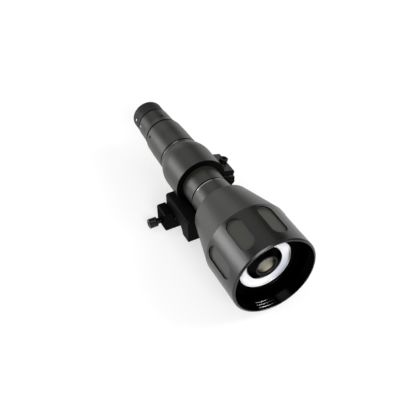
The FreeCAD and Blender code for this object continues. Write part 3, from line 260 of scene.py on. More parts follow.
def build_tent():
    world = bpy.data.worlds.new("light tent")
    bpy.context.scene.world = world
    world.use_nodes = True
    tree = world.node_tree
    tree.nodes.clear()
    direction = tree.nodes.new("ShaderNodeTexCoord").outputs["Generated"]
    glow = TENT_DARK
    for centre, inner, outer, strength in TENT_GLOWS:
        lobe = add_glow(tree, direction, centre, inner, outer, strength)
        glow = add_math(tree, "ADD", lobe, glow)
    mirrored = add_background(tree, glow)
    even = add_background(tree, TENT_EVEN)
    white = add_background(tree, 1.0)
    rays = tree.nodes.new("ShaderNodeLightPath").outputs
    cloth = mix_shaders(tree, rays["Is Glossy Ray"], even, mirrored)
    seen = add_math(tree, "MAXIMUM", rays["Is Camera Ray"], rays["Is Transmission Ray"])
    output = tree.nodes.new("ShaderNodeOutputWorld")
    tree.links.new(mix_shaders(tree, seen, cloth, white), output.inputs["Surface"])


build_tent()
print("tent cloth with", len(TENT_GLOWS), "glows")

# %% [markdown]
# Three soft lamps stand outside the cloth: a low one behind on the left that brightens one
# flank, one on the right, and one in front that reaches into the hood and whitens the dish.

# %% Soft lamps: name, place, width in metres and watts
SOFT_LAMPS = [
    ("lamp_left", (-1.0, 0.8, 0.35), 0.5, 4.5),
    ("lamp_right", (0.95, -0.45, 0.95), 0.6, 6.0),
    ("lamp_front", (-0.15, -1.2, 0.75), 0.5, 10.0),
]


def add_soft_lamp(name, place, size, watts):
    """An area lamp that looks at the middle of the torch."""
    bpy.ops.object.light_add(type="AREA", location=place)
    lamp = bpy.context.object
    lamp.name = name
    lamp.data.size = size
    lamp.data.energy = watts
    middle = (cad_low + cad_high) / 2
    lamp.rotation_mode = "QUATERNION"
    lamp.rotation_quaternion = (Vector(place) - middle).to_track_quat("Z", "Y")


for name, place, size, watts in SOFT_LAMPS:
    add_soft_lamp(name, place, size, watts)
    print(name, "gives", watts, "W")

# %% [markdown]
# ## Finishes
#
# A shader is easier to reuse when its moving parts sit in a node group. The first group is
# the grain that bead blasting leaves on aluminium before it is anodised: tiny random pits
# that break up the gloss, and a slow cloudiness in the dye. It gives out a tone between 0
# and 1, a height and a roughness, and each material decides what to do with them.

# %% Node group: blasted grain
GRAIN_SCALE = 5200.0
CLOUD_SCALE = 55.0


def new_group(name, inputs, outputs):
    """A node group of plain numbers, with the sockets to read inside it and to fill."""
    group = bpy.data.node_groups.new(name, "ShaderNodeTree")
    for label, value in inputs:
        socket = group.interface.new_socket(
            label, in_out="INPUT", socket_type="NodeSocketFloat"
        )
        socket.default_value = value
    for label in outputs:
        group.interface.new_socket(label, in_out="OUTPUT", socket_type="NodeSocketFloat")
    inlet = group.nodes.new("NodeGroupInput").outputs
    outlet = group.nodes.new("NodeGroupOutput").inputs
    return group, inlet, outlet


def add_noise(tree, scale, detail):
    place = tree.nodes.new("ShaderNodeTexCoord")
    noise = tree.nodes.new("ShaderNodeTexNoise")
    noise.inputs["Scale"].default_value = scale
    noise.inputs["Detail"].default_value = detail
    tree.links.new(place.outputs["Object"], noise.inputs["Vector"])
    return noise.outputs["Fac"]


def blasted_grain_group():
    group, inlet, outlet = new_group(
        "blasted grain",
        [("Roughness", 0.4), ("Roughness spread", 0.1)],
        ["Tone", "Height", "Roughness"],
    )
    grain = add_noise(group, GRAIN_SCALE, detail=2.0)
    cloud = add_noise(group, CLOUD_SCALE, detail=3.0)
    spread = add_math(group, "MULTIPLY", cloud, inlet["Roughness spread"])
    roughness = add_math(group, "ADD", spread, inlet["Roughness"])
    group.links.new(cloud, outlet["Tone"])
    group.links.new(grain, outlet["Height"])
    group.links.new(roughness, outlet["Roughness"])
    return group


BLASTED_GRAIN = blasted_grain_group()
print("group", BLASTED_GRAIN.name, "has", len(BLASTED_GRAIN.nodes), "nodes")

# %% [markdown]
# A turned part carries fine rings from the lathe tool. They run round the axis, so the height
# only depends on the place along the axis: a wave texture on Y gives exactly that. The group
# takes the ring spacing, so each turned metal can have its own.

# %% Node group: lathe rings


def lathe_rings_group():
    group, inlet, outlet = new_group(
        "lathe rings", [("Rings per metre", 3000.0), ("Waver", 0.6)], ["Height"]
    )
    place = group.nodes.new("ShaderNodeTexCoord")
    wave = group.nodes.new("ShaderNodeTexWave")
    wave.bands_direction = "Y"
    wave.inputs["Detail"].default_value = 2.0
    group.links.new(place.outputs["Object"], wave.inputs["Vector"])
    group.links.new(inlet["Rings per metre"], wave.inputs["Scale"])
    group.links.new(inlet["Waver"], wave.inputs["Distortion"])
    group.links.new(wave.outputs["Fac"], outlet["Height"])
    return group


LATHE_RINGS = lathe_rings_group()
print("group", LATHE_RINGS.name, "has", len(LATHE_RINGS.nodes), "nodes")

# %% [markdown]
# Some pieces wear two finishes, such as the head, which is satin outside and glossy black in
# the hood. A mask tells the two apart by place alone. This group gives the place across the
# torch, along it and above its axis, and the distance from the axis, all in millimetres.

# %% Node group: place on the torch


def add_distance(tree, first, second):
    """How far a point is from a line, from its two distances at right angles."""
    squares = [add_math(tree, "MULTIPLY", side, side) for side in (first, second)]
    return add_math(tree, "POWER", add_math(tree, "ADD", *squares), 0.5)


def torch_place_group():
    group, _, outlet = new_group("torch place", [], ["Across", "Along", "Up", "Radius"])
    place = group.nodes.new("ShaderNodeTexCoord")
    parts = group.nodes.new("ShaderNodeSeparateXYZ")
    group.links.new(place.outputs["Object"], parts.inputs[0])
    across, along, height = [
        add_math(group, "MULTIPLY", part, TO_MM) for part in parts.outputs
    ]
    up = add_math(group, "SUBTRACT", height, AXIS_HEIGHT * TO_MM)
    group.links.new(across, outlet["Across"])
    group.links.new(along, outlet["Along"])
    group.links.new(up, outlet["Up"])
    group.links.new(add_distance(group, across, up), outlet["Radius"])
    return group


TORCH_PLACE = torch_place_group()
print("group", TORCH_PLACE.name, "has", len(TORCH_PLACE.nodes), "nodes")

# %% [markdown]
# Where two turned pieces meet there is a thin line of painted shade, and beside it the sharp
# corner gets a painted highlight in short dashes, where the edge would catch the light. Both
# are lines round the torch at one station, so a first group draws such a line as a mask with
# soft sides. A second one breaks it up with noise: the higher its value for the gaps is, the
# shorter the dashes are.

# %% Node groups: line round the torch and dashes of painted highlight
DASH_SCALE = 160.0


def ring_line_group():
    group, inlet, outlet = new_group(
        "line round the torch",
        [("Along", 0.0), ("Station", 0.0), ("Half width", 0.5), ("Core", 0.7)],
        ["Mask"],
    )
    aside = add_math(group, "SUBTRACT", inlet["Along"], inlet["Station"])
    off_line = add_math(group, "ABSOLUTE", aside)
    core = add_math(group, "MULTIPLY", inlet["Half width"], inlet["Core"])
    group.links.new(add_fade(group, off_line, inlet["Half width"], core), outlet["Mask"])
    return group


def glint_dashes_group():
    group, inlet, outlet = new_group(
        "glint dashes", [("Gaps", 0.5), ("Softness", 0.08)], ["Mask"]
    )
    patches = add_noise(group, DASH_SCALE, detail=1.0)
    bare = add_math(group, "ADD", inlet["Gaps"], inlet["Softness"])
    group.links.new(add_fade(group, patches, inlet["Gaps"], bare), outlet["Mask"])
    return group


RING_LINE = ring_line_group()
GLINT_DASHES = glint_dashes_group()
print("node groups so far:", len(bpy.data.node_groups))

# %% [markdown]
# Most materials are a Principled BSDF whose base colour drifts a little between two close
# tones and whose surface gets a small bump. One helper wires that up for all of them. A bevel
# node softens every sharp edge for the light alone, as tumbling and anodising do.

# %% Helpers that wire a finish
SOFT_EDGE = 0.0002
SOFT_EDGE_SAMPLES = 6
DRIFT_START = 0.3
DRIFT_END = 0.7
MICRON = 0.000001


def add_group(tree, group, **values):
    """One group node; an underscore in a keyword stands for a space in the input's name."""
    node = tree.nodes.new("ShaderNodeGroup")
    node.node_tree = group
    for label, value in values.items():
        feed(tree, node.inputs[label.replace("_", " ")], value)
    return node.outputs


def start_material(name):
    material = bpy.data.materials.new(name)
    material.use_nodes = True
    tree = material.node_tree
    return material, tree, tree.nodes["Principled BSDF"]


def drift_colour(tree, shader, mask, dark, light):
    """Base colour between two tones, by a mask."""
    ramp = tree.nodes.new("ShaderNodeValToRGB")
    start, end = ramp.color_ramp.elements
    start.position, start.color = DRIFT_START, (*dark, 1)
    end.position, end.color = DRIFT_END, (*light, 1)
    tree.links.new(mask, ramp.inputs["Fac"])
    tree.links.new(ramp.outputs["Color"], shader.inputs["Base Color"])


def add_bump(tree, shader, height, depth, before):
    """A bump of a real depth in metres, on top of an earlier node that gives a normal."""
    bump = tree.nodes.new("ShaderNodeBump")
    bump.inputs["Distance"].default_value = depth
    tree.links.new(height, bump.inputs["Height"])
    tree.links.new(before.outputs["Normal"], bump.inputs["Normal"])
    tree.links.new(bump.outputs["Normal"], shader.inputs["Normal"])
    return bump


def grained_finish(name, dark, light, roughness, depth, metallic=0.0, spread=0.1, rings=None):
    """A finish with blasted grain of a depth and, if rings is given, lathe rings."""
    material, tree, shader = start_material(name)
    grain = add_group(tree, BLASTED_GRAIN, Roughness=roughness, Roughness_spread=spread)
    drift_colour(tree, shader, grain["Tone"], dark, light)
    tree.links.new(grain["Roughness"], shader.inputs["Roughness"])
    shader.inputs["Metallic"].default_value = metallic
    edges = tree.nodes.new("ShaderNodeBevel")
    edges.samples = SOFT_EDGE_SAMPLES
    edges.inputs["Radius"].default_value = SOFT_EDGE
    bump = add_bump(tree, shader, grain["Height"], depth, edges)
    if rings is not None:
        per_metre, ring_depth = rings
        turned = add_group(tree, LATHE_RINGS, Rings_per_metre=per_metre)
        add_bump(tree, shader, turned["Height"], ring_depth, bump)
    return material


# %% [markdown]
# A second look is laid over the first one with a mask: each of the two helpers below takes
# whatever feeds an input so far and turns it into something else where the mask is 1.

# %% Helpers that lay a second look over a finish


def open_finish(material):
    """The node tree of a finish, its shader and the place on the torch."""
    tree = material.node_tree
    return tree, tree.nodes["Principled BSDF"], add_group(tree, TORCH_PLACE)


def blend_colour(tree, shader, mask, colour):
    """Turns the base colour so far into another one where the mask is 1."""
    mix = tree.nodes.new("ShaderNodeMix")
    mix.data_type = "RGBA"
    tree.links.new(mask, mix.inputs["Factor"])
    tree.links.new(shader.inputs["Base Color"].links[0].from_socket, mix.inputs["A"])
    mix.inputs["B"].default_value = (*colour, 1)
    tree.links.new(mix.outputs["Result"], shader.inputs["Base Color"])


def blend_value(tree, shader, label, mask, value):
    """Turns a plain input, or what feeds it, into another value where the mask is 1."""
    mix = tree.nodes.new("ShaderNodeMix")
    tree.links.new(mask, mix.inputs["Factor"])
    if shader.inputs[label].links:
        tree.links.new(shader.inputs[label].links[0].from_socket, mix.inputs["A"])
    else:
        mix.inputs["A"].default_value = shader.inputs[label].default_value
    mix.inputs["B"].default_value = value
    tree.links.new(mix.outputs["Result"], shader.inputs[label])


def add_band(tree, value, rise, fall):
    """A mask that is 1 between two fades, each one given from its dark to its full end."""
    return add_math(
        tree, "MULTIPLY", add_fade(tree, value, *rise), add_fade(tree, value, *fall)
    )


# %% [markdown]
# Black anodising is a dyed, glass-hard oxide. It isn't a bare metal, so Metallic stays at 0:
# the gloss is the weak white reflection of the oxide, which grows at grazing angles. The dye
# leans a little towards olive. Here level says how strong that gloss is, and a tint below 1
# takes a share of its white sheen away. A dead black face gets Metallic 1 with a black colour
# instead, and the same tint takes away what is left of the sheen at grazing angles.

# %% Black anodised finishes
ANODISED_SPREAD = 0.08
ANODISED_GRAIN = 12 * MICRON
DEAD_GRAIN = 15 * MICRON
DEAD_DRIFT = 1.6
TUBE_TONES = (0.016, 0.016, 0.0128), (0.026, 0.026, 0.021)
TAIL_TONES = (0.011, 0.011, 0.009), (0.018, 0.018, 0.0148)
GRIP_TONES = (0.004, 0.0041, 0.0034), (0.008, 0.0082, 0.0068)
BLASTED_TONE = (0.027, 0.027, 0.0221)
SADDLE_BLACK = (0.007, 0.007, 0.0069)
INSIDE_BLACK = (0.003, 0.003, 0.0033)
RETAINER_TONE = (0.02, 0.019, 0.017)
# dead black for painted shade: seams, pocket walls and the inside of the hood
DEAD_BLACK = (0.0025, 0.0025, 0.0027)


def satin_black(name, tones, roughness, tint=0.5, level=0.5):
    material = grained_finish(name, *tones, roughness, ANODISED_GRAIN, spread=ANODISED_SPREAD)
    shader = material.node_tree.nodes["Principled BSDF"]
    shader.inputs["Specular IOR Level"].default_value = level / tint
    shader.inputs["Specular Tint"].default_value = (tint, tint, tint, 1)
    return material


def dead_black(name, tone, roughness, tint):
    paler = tuple(DEAD_DRIFT * part for part in tone)
    material = grained_finish(name, tone, paler, roughness, DEAD_GRAIN, metallic=1.0)
    shader = material.node_tree.nodes["Principled BSDF"]
    shader.inputs["Specular Tint"].default_value = (tint, tint, tint, 1)
    return material


anodised_clamp = dead_black("black anodised clamp", SADDLE_BLACK, 0.45, 0.4)
anodised_inside = dead_black("black anodised inside", INSIDE_BLACK, 0.2, 0.4)
retainer_black = dead_black("lens retainer black", RETAINER_TONE, 0.3, 0.8)
print("finishes so far:", len(bpy.data.materials))

# %% [markdown]
# The tail housing and the dial need nothing more than the lines where they meet the tube and
# each other. A seam gets painted shade: dead black on both sides of the joint, because the
# light gets lost in it. A corner gets a painted highlight: pale metal in dashes, where a sharp
# edge would catch the light.

# %% Painted seam shade, painted corner highlights, and the finishes of the tail and the dial
COLLAR_SEAM = 37.0
TAIL_SEAM = 63.2
DIAL_SEAM = 79.2
NECK_SEAM = -6.0
SEAM_SHADE_CORE = 0.7
SEAM_ROUGHNESS = 0.5
GLINT_CORE = 0.5
# pale metal of the painted corner highlights
PAINTED_GLINT_TONE = (0.5, 0.5, 0.49)
PAINTED_GLINT_METALLIC = 0.8


def add_ring_line(tree, place, station, half_width, core):
    line = add_group(
        tree, RING_LINE, Along=place["Along"], Station=station, Half_width=half_width, Core=core
    )
    return line["Mask"]


def paint_seam_shade(material, station, half_width):
    """A line of painted shade round the torch, where two pieces meet and the light gets lost.
    """
    tree, shader, place = open_finish(material)
    line = add_ring_line(tree, place, station, half_width, SEAM_SHADE_CORE)
    blend_value(tree, shader, "Metallic", line, 1.0)
    blend_value(tree, shader, "Roughness", line, SEAM_ROUGHNESS)
    blend_colour(tree, shader, line, DEAD_BLACK)


def paint_corner_glint(material, station, half_width, gaps):
    """Painted highlight in dashes along a corner line; more gaps leave shorter ones."""
    tree, shader, place = open_finish(material)
    line = add_ring_line(tree, place, station, half_width, GLINT_CORE)
    dashes = add_group(tree, GLINT_DASHES, Gaps=gaps)
    glint = add_math(tree, "MULTIPLY", line, dashes["Mask"])
    blend_value(tree, shader, "Metallic", glint, PAINTED_GLINT_METALLIC)
    blend_colour(tree, shader, glint, PAINTED_GLINT_TONE)


anodised_tail = satin_black("black anodised tail", TAIL_TONES, 0.36, level=0.4)
# painted shade along the tail's two seams
paint_seam_shade(anodised_tail, TAIL_SEAM, 0.95)
paint_seam_shade(anodised_tail, DIAL_SEAM, 0.95)
anodised_dial = satin_black("black anodised dial", GRIP_TONES, 0.5, level=0.3)
# painted shade along the dial's seam
paint_seam_shade(anodised_dial, DIAL_SEAM, 0.95)
print("finishes so far:", len(bpy.data.materials))

# %% [markdown]
# The mount is one casting with two looks. Its collar and ears are satin like the tube. The
# saddle under them and every face that looks ahead get painted shade, dead black, because
# they lie in the shadow of the collar and of the head; so the mask asks for the height and
# for the way a face looks. The tube is turned, and blasted to a duller grey ahead of the
# collar, so there its mask only asks for the place along the axis.

# %% Painted shade on the mount, and two finishes on the tube
SADDLE_SHADE_FADE = (-4.0, -8.0)
FACING_AHEAD = (-0.8, -0.95)
SADDLE_ROUGHNESS = 0.62
COLLAR_GLINT = COLLAR_SEAM - 0.75
NECK_FADE = (5.0, -5.0)


def mount_finish():
    material = satin_black("black anodised mount", TUBE_TONES, 0.36, tint=0.8)
    tree, shader, place = open_finish(material)
    # painted shade: the saddle under the collar and faces that look ahead into the head's
    # shadow go dead black
    spot = tree.nodes.new("ShaderNodeTexCoord")
    facing = tree.nodes.new("ShaderNodeSeparateXYZ")
    tree.links.new(spot.outputs["Normal"], facing.inputs[0])
    ahead = add_fade(tree, facing.outputs["Y"], *FACING_AHEAD)
    saddle = add_fade(tree, place["Up"], *SADDLE_SHADE_FADE)
    black = add_math(tree, "MAXIMUM", saddle, ahead)
    blend_value(tree, shader, "Metallic", black, 1.0)
    blend_value(tree, shader, "Roughness", black, SADDLE_ROUGHNESS)
    blend_colour(tree, shader, black, SADDLE_BLACK)
    # painted shade along the collar's seam
    paint_seam_shade(material, COLLAR_SEAM, 0.6)
    # painted highlight in dashes on the collar's rear corner
    paint_corner_glint(material, COLLAR_GLINT, 0.3, gaps=0.55)
    return material


def tube_finish():
    material = satin_black("black anodised tube", TUBE_TONES, 0.36)
    tree, shader, place = open_finish(material)
    neck = add_fade(tree, place["Along"], *NECK_FADE)
    blend_colour(tree, shader, neck, BLASTED_TONE)
    # painted shade along the seams of the collar, the tail and the neck
    paint_seam_shade(material, COLLAR_SEAM, 0.75)
    paint_seam_shade(material, TAIL_SEAM, 0.8)
    paint_seam_shade(material, NECK_SEAM, 0.45)
    return material


anodised_mount = mount_finish()
anodised_tube = tube_finish()
print("finishes so far:", len(bpy.data.materials))

# %% [markdown]
# On the head the grip is turned smooth, while the cone behind it and the floors of the finger
# pockets are blasted. A pocket's floor lies nearer to the axis than the grip does, so the
# distance from the axis picks it out. Its steep walls lie between the two distances, and they
# get painted shade, dead black, because hardly any light finds its way back out of them.

# %% The head's cone, the finger pockets and the painted shade on their walls
CONE_FADE = (-51.4, -51.0)
FLOOR_RADII = (25.75, 25.65)
FLOOR_START = (-76.6, -76.4)
FLOOR_TONE = (0.045, 0.0452, 0.0385)
BLASTED_ROUGHNESS = 0.38
WALL_TOP = (26.38, 26.3)
WALL_FOOT = (25.6, 25.7)
WALL_START = (-77.2, -77.0)
WALL_END = (-51.6, -52.0)


def finish_pockets(tree, shader, place, cone):
    radius, along = place["Radius"], place["Along"]
    below_grip = add_fade(tree, radius, *FLOOR_RADII)
    floor = add_math(tree, "MULTIPLY", below_grip, add_fade(tree, along, *FLOOR_START))
    blasted = add_math(tree, "MAXIMUM", cone, floor)
    blend_colour(tree, shader, blasted, BLASTED_TONE)
    blend_colour(tree, shader, add_math(tree, "SUBTRACT", floor, cone), FLOOR_TONE)
    blend_value(tree, shader, "Roughness", blasted, BLASTED_ROUGHNESS)
    # painted shade: the steep pocket walls go dead black
    depths = add_band(tree, radius, WALL_TOP, WALL_FOOT)
    reach = add_band(tree, along, WALL_START, WALL_END)
    painted_wall_shade = add_math(tree, "MULTIPLY", depths, reach)
    blend_value(tree, shader, "Metallic", painted_wall_shade, 1.0)
    blend_colour(tree, shader, painted_wall_shade, DEAD_BLACK)


anodised_head = satin_black("black anodised head", GRIP_TONES, 0.26)
tree, shader, place = open_finish(anodised_head)
cone = add_fade(tree, place["Along"], *CONE_FADE)
finish_pockets(tree, shader, place, cone)
print("head shader has", len(tree.nodes), "nodes")

# %% [markdown]
# Inside the hood the head is glossy and dead black: black anodising, darkened further as
# painted shade of the deep hood. Every second land of the filter thread gets a painted
# reflection of the white dish: rings by the place along the axis, cut down to a short streak
# by the place across it.

# %% The inside of the hood: painted shade and a painted reflection of the dish
HOOD_RADII = (25.13, 25.05)
HOOD_ROUGHNESS = 0.12
LAND_PITCH = 2.0
LAND_PLACE = 1.4
LAND_HALF_WIDTH = 0.25
STREAK_LEFT = (-10.5, -5.5)
STREAK_RIGHT = (4.0, -2.0)
# colour of the painted reflection of the dish on the thread lands
DISH_REFLECTION_TONE = (0.6, 0.61, 0.64)
NECK_GLINT = NECK_SEAM - 1.3


def finish_hood(tree, shader, place, cone):
    bore = add_fade(tree, place["Radius"], *HOOD_RADII)
    hood = add_math(tree, "SUBTRACT", bore, cone)
    turn = add_math(tree, "FLOORED_MODULO", place["Along"], LAND_PITCH)
    off_land = add_math(tree, "ABSOLUTE", add_math(tree, "SUBTRACT", turn, LAND_PLACE))
    land = add_math(tree, "LESS_THAN", off_land, LAND_HALF_WIDTH)
    # painted shade: the inside of the hood goes darker than its anodising
    blend_value(tree, shader, "Metallic", hood, 1.0)
    blend_value(tree, shader, "Roughness", hood, HOOD_ROUGHNESS)
    blend_colour(tree, shader, hood, DEAD_BLACK)
    # painted reflection of the white dish on every second thread land
    streak = add_band(tree, place["Across"], STREAK_LEFT, STREAK_RIGHT)
    painted_land_reflection = add_math(tree, "MULTIPLY", add_math(tree, "MULTIPLY", hood, land), streak)
    blend_colour(tree, shader, painted_land_reflection, DISH_REFLECTION_TONE)


finish_hood(tree, shader, place, cone)
# painted highlight in dashes on the neck's corner
paint_corner_glint(anodised_head, NECK_GLINT, 0.4, gaps=0.42)
print("head shader has", len(tree.nodes), "nodes")

# %% [markdown]
# The screws and the bolt are blackened steel: a dark oxide that still mirrors like a metal,
# so Metallic is 1 and the tint is nearly whole. The seam washer is nickel with a soft shine.
# Springs and pins are polished, the heat sink keeps its lathe rings, and the front contact is
# brass. Each one has two close tones, so that no face looks like plastic.

# %% Steel, bright metals and brass
blackened_steel = dead_black("blackened steel", (0.02, 0.02, 0.021), 0.2, 0.9)
polished_ring = grained_finish(
    "polished steel ring", (0.72, 0.71, 0.69), (0.8, 0.79, 0.77),
    roughness=0.12, depth=4 * MICRON, metallic=1.0, spread=0.06,
)
nickel_washer = grained_finish(
    "satin nickel washer", (0.62, 0.61, 0.59), (0.78, 0.77, 0.75),
    roughness=0.3, depth=6 * MICRON, metallic=0.35,
)
turned_aluminium = grained_finish(
    "turned aluminium", (0.6, 0.6, 0.61), (0.72, 0.72, 0.73),
    roughness=0.28, depth=6 * MICRON, metallic=1.0, rings=(2500.0, 6 * MICRON),
)
brass = grained_finish(
    "brass contact", (0.66, 0.5, 0.22), (0.78, 0.6, 0.3),
    roughness=0.25, depth=6 * MICRON, metallic=1.0,
)
print("finishes so far:", len(bpy.data.materials))

# %% [markdown]
# The reflector is a white, polished dish. Its side on the right mirrors the black hood. The
# soft shine that suits the rest of the dish can't show that, so a painted reflection of the
# hood is laid over the side by place: a grey shade, then black at the lip.

# %% The reflector dish
DISH_SLANT = 0.7
DISH_REFLECTION_FADE = (9.0, 22.0)
# grey and black of the painted reflection of the hood on the dish
DISH_REFLECTION_GREY = (0.42, 0.45, 0.52)
DISH_LIP_REFLECTION_FADE = (14.2, 16.6)
DISH_LIP_REFLECTION = (0.01, 0.01, 0.012)


def paint_dish_hood_reflection(material):
    """Painted reflection of the black hood on the dish's side: greyer, then black at its lip.
    """
    tree, shader, place = open_finish(material)
    slope = add_math(tree, "MULTIPLY", place["Up"], DISH_SLANT)
    slant = add_math(tree, "SUBTRACT", place["Across"], slope)
    blend_colour(tree, shader, add_fade(tree, slant, *DISH_REFLECTION_FADE), DISH_REFLECTION_GREY)
    lip = add_fade(tree, place["Across"], *DISH_LIP_REFLECTION_FADE)
    blend_colour(tree, shader, lip, DISH_LIP_REFLECTION)


polished_dish = grained_finish(
    "polished dish", (0.9, 0.905, 0.925), (0.95, 0.955, 0.97),
    roughness=0.16, depth=2 * MICRON, metallic=0.25, spread=0.03,
)
# painted reflection of the black hood on the dish's right side
paint_dish_hood_reflection(polished_dish)
print("dish shader has", len(polished_dish.node_tree.nodes), "nodes")

# %% [markdown]
# The two marks on the tail are filled with paint, which is matt and even. The rubber rings,
# the boards, the battery's wrap and the leads' sleeves are hidden when the torch is closed,
# and plain colours with a little grain are enough for them.

# %% Paint, rubber and plastics
grey_paint = grained_finish(
    "grey paint", (0.62, 0.62, 0.6), (0.72, 0.72, 0.7), roughness=0.5, depth=4 * MICRON
)
white_paint = grained_finish(
    "white paint", (0.8, 0.8, 0.78), (0.9, 0.9, 0.88), roughness=0.5, depth=10 * MICRON
)
seal_rubber = grained_finish(
    "seal rubber", (0.01, 0.01, 0.01), (0.02, 0.02, 0.02), roughness=0.6, depth=10 * MICRON
)
green_board = grained_finish(
    "green circuit board", (0.02, 0.12, 0.05), (0.03, 0.17, 0.08),
    roughness=0.3, depth=10 * MICRON,
)
battery_wrap = grained_finish(
    "battery wrap", (0.05, 0.2, 0.42), (0.07, 0.26, 0.5), roughness=0.25, depth=6 * MICRON
)
lead_sleeve = grained_finish(
    "lead sleeve", (0.45, 0.03, 0.02), (0.6, 0.05, 0.04), roughness=0.45, depth=6 * MICRON
)
print("finishes so far:", len(bpy.data.materials))

# %% [markdown]
# The lens is pressed from pale amber glass, and Transmission carries the light through it. A
# thick lens also gathers light in one spot. No lamp puts that spot where the picture has it,
# so a very faint glow with soft sides stands in for it.

# %% Glass
GLASS_CLOUDS = 4 * CLOUD_SCALE
GLASS_DRIFT = 0.1
GLASS_IOR = 1.5
SPOT_CORE = 0.3
NO_GLOW = (0, 0, 0)


def clear_glass(name, tint, roughness):
    material, tree, shader = start_material(name)
    cloud = add_noise(tree, GLASS_CLOUDS, detail=2.0)
    paler = tuple(part + GLASS_DRIFT * (1 - part) for part in tint)
    drift_colour(tree, shader, cloud, tint, paler)
    shader.inputs["Transmission Weight"].default_value = 1.0
    shader.inputs["Roughness"].default_value = roughness
    shader.inputs["IOR"].default_value = GLASS_IOR
    return material


def painted_light_spot(material, centre, radius, colour):
    """A painted glow for the pale patch in the lens, where its back face gathers the light."""
    tree, shader, place = open_finish(material)
    aside = add_math(tree, "SUBTRACT", place["Across"], centre[0])
    above = add_math(tree, "SUBTRACT", place["Up"], centre[1])
    spot = add_fade(tree, add_distance(tree, aside, above), radius, SPOT_CORE * radius)
    glow = tree.nodes.new("ShaderNodeMix")
    glow.data_type = "RGBA"
    tree.links.new(spot, glow.inputs["Factor"])
    glow.inputs["A"].default_value = (*NO_GLOW, 1)
    glow.inputs["B"].default_value = (*colour, 1)
    tree.links.new(glow.outputs["Result"], shader.inputs["Emission Color"])
    shader.inputs["Emission Strength"].default_value = 1.0


amber_glass = clear_glass("amber lens glass", (0.42, 0.38, 0.3), 0.3)
# painted glow for the pale spot in the lens
painted_light_spot(amber_glass, centre=(1.4, -3.2), radius=4.6, colour=(0.21, 0.195, 0.155))
emitter_resin = clear_glass("emitter resin", (0.95, 0.9, 0.7), 0.08)
print("finishes in all:", len(bpy.data.materials))

# %% [markdown]
# Every solid that keeps its own shape now gets its finish. The table below reads as a parts
# list: one finish, then the solids that have it.

# %% Give each solid its finish
PARTS_LIST = [
    (anodised_tail, ["tail_housing"]),
    (anodised_dial, ["power_dial"]),
    (anodised_tube, ["battery_tube"]),
    (anodised_head, ["head_shell"]),
    (anodised_mount, ["mount_body"]),
    (anodised_clamp, ["clamp_jaw", "head_nut"]),
    (anodised_inside, ["retaining_ring", "optic_carrier", "lens_barrel"]),
    (retainer_black, ["lens_retainer"]),
    (blackened_steel, ["clamp_screw", "clamp_bolt", "bolt_washer", "tube_set_screw",
                       "housing_set_screw", "dial_set_screw"]),
    (nickel_washer, ["seam_washer"]),
    (polished_ring, ["guide_pins", "jaw_guide_pins", "tail_spring", "pot_nut",
                     "dial_spindle"]),
    (turned_aluminium, ["heat_sink"]),
    (brass, ["front_contact"]),
    (polished_dish, ["reflector_dish"]),
    (white_paint, ["index_dot"]),
    (grey_paint, ["index_mark"]),
    (seal_rubber, ["head_o_ring", "tail_o_ring"]),
    (green_board, ["emitter_board", "driver_board", "contact_board", "potentiometer"]),
    (battery_wrap, ["battery"]),
    (lead_sleeve, ["emitter_leads"]),
    (amber_glass, ["emitter_lens"]),
    (emitter_resin, ["emitter_dome"]),
]


def finish_solid(name, material):
    solid = nodes[name]
    solid.data.materials.clear()
    solid.data.materials.append(material)


for material, names in PARTS_LIST:
    for name in names:
        finish_solid(name, material)
dressed = {name for _, names in PARTS_LIST for name in names}
print("solids without a finish:", sorted(set(nodes) - dressed))

# %% [markdown]
# ## The clamp bolt
#
# The thumb bolt's head is knurled, and a knurl is many small pyramids wound round a cylinder.
# The whole bolt is drawn out like the turned piece it is: one ring of edges, extruded from
# ring to ring along X, each ring scaled to its radius. The rings of the knurl are also twisted
# a little, which leans its faces over. Poking those faces outwards raises the pyramids.

# %% Rings drawn out along a line
bolt_low, bolt_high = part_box("clamp_bolt")
BOLT_LINE = (bolt_low + bolt_high) / 2
BOLT_SIDES = 26
BOLT_HEAD_LENGTH = 0.005
BOLT_HEAD_RADIUS = (bolt_high.z - bolt_low.z) / 2
BOLT_RADIUS = 0.002
CORNER = 0.0003
print("bolt is", round((bolt_high.x - bolt_low.x) * TO_MM, 1), "mm long")


def drawn_out(name, rings):
    """Edge rings about the bolt's line, each given as its place, radius and twist."""
    clear_selection()
    place, radius, _ = rings[0]
    bpy.ops.mesh.primitive_circle_add(
        vertices=BOLT_SIDES,
        radius=radius,
        location=(place, BOLT_LINE.y, BOLT_LINE.z),
        rotation=(0, math.pi / 2, 0),
    )
    bpy.ops.object.transform_apply(location=True, rotation=True, scale=True)
    piece = bpy.context.object
    piece.name = name
    bpy.ops.object.mode_set(mode="EDIT")
    bpy.ops.mesh.select_all(action="SELECT")
    for next_place, next_radius, twist in rings[1:]:
        step = (next_place - place, 0, 0)
        bpy.ops.mesh.extrude_edges_move(TRANSFORM_OT_translate={"value": step})
        middle = (next_place, BOLT_LINE.y, BOLT_LINE.z)
        share = next_radius / radius
        bpy.ops.transform.resize(value=(1, share, share), center_override=middle)
        if twist:
            bpy.ops.transform.rotate(value=twist, orient_axis="X", center_override=middle)
        place, radius = next_place, next_radius
    bpy.ops.mesh.edge_face_add()
    bpy.ops.object.mode_set(mode="OBJECT")
    return piece


# %% [markdown]
# The rings start at the tip. Each thread groove takes three of them. Then comes the plain
# shank, the underside of the head, the rows of the knurl and the rim of the head's face.

# %% Shank, thread and head of the bolt
THREAD_TIP = 0.0161
THREAD_PITCH = 0.0007
THREAD_DEPTH = 0.00025
THREAD_TURNS = 15
GROOVE_REACH = 0.45 * THREAD_PITCH
KNURL_ROWS = 5
KNURL_SINK = 0.0004
KNURL_RADIUS = BOLT_HEAD_RADIUS - KNURL_SINK
KNURL_TWIST = math.pi / BOLT_SIDES

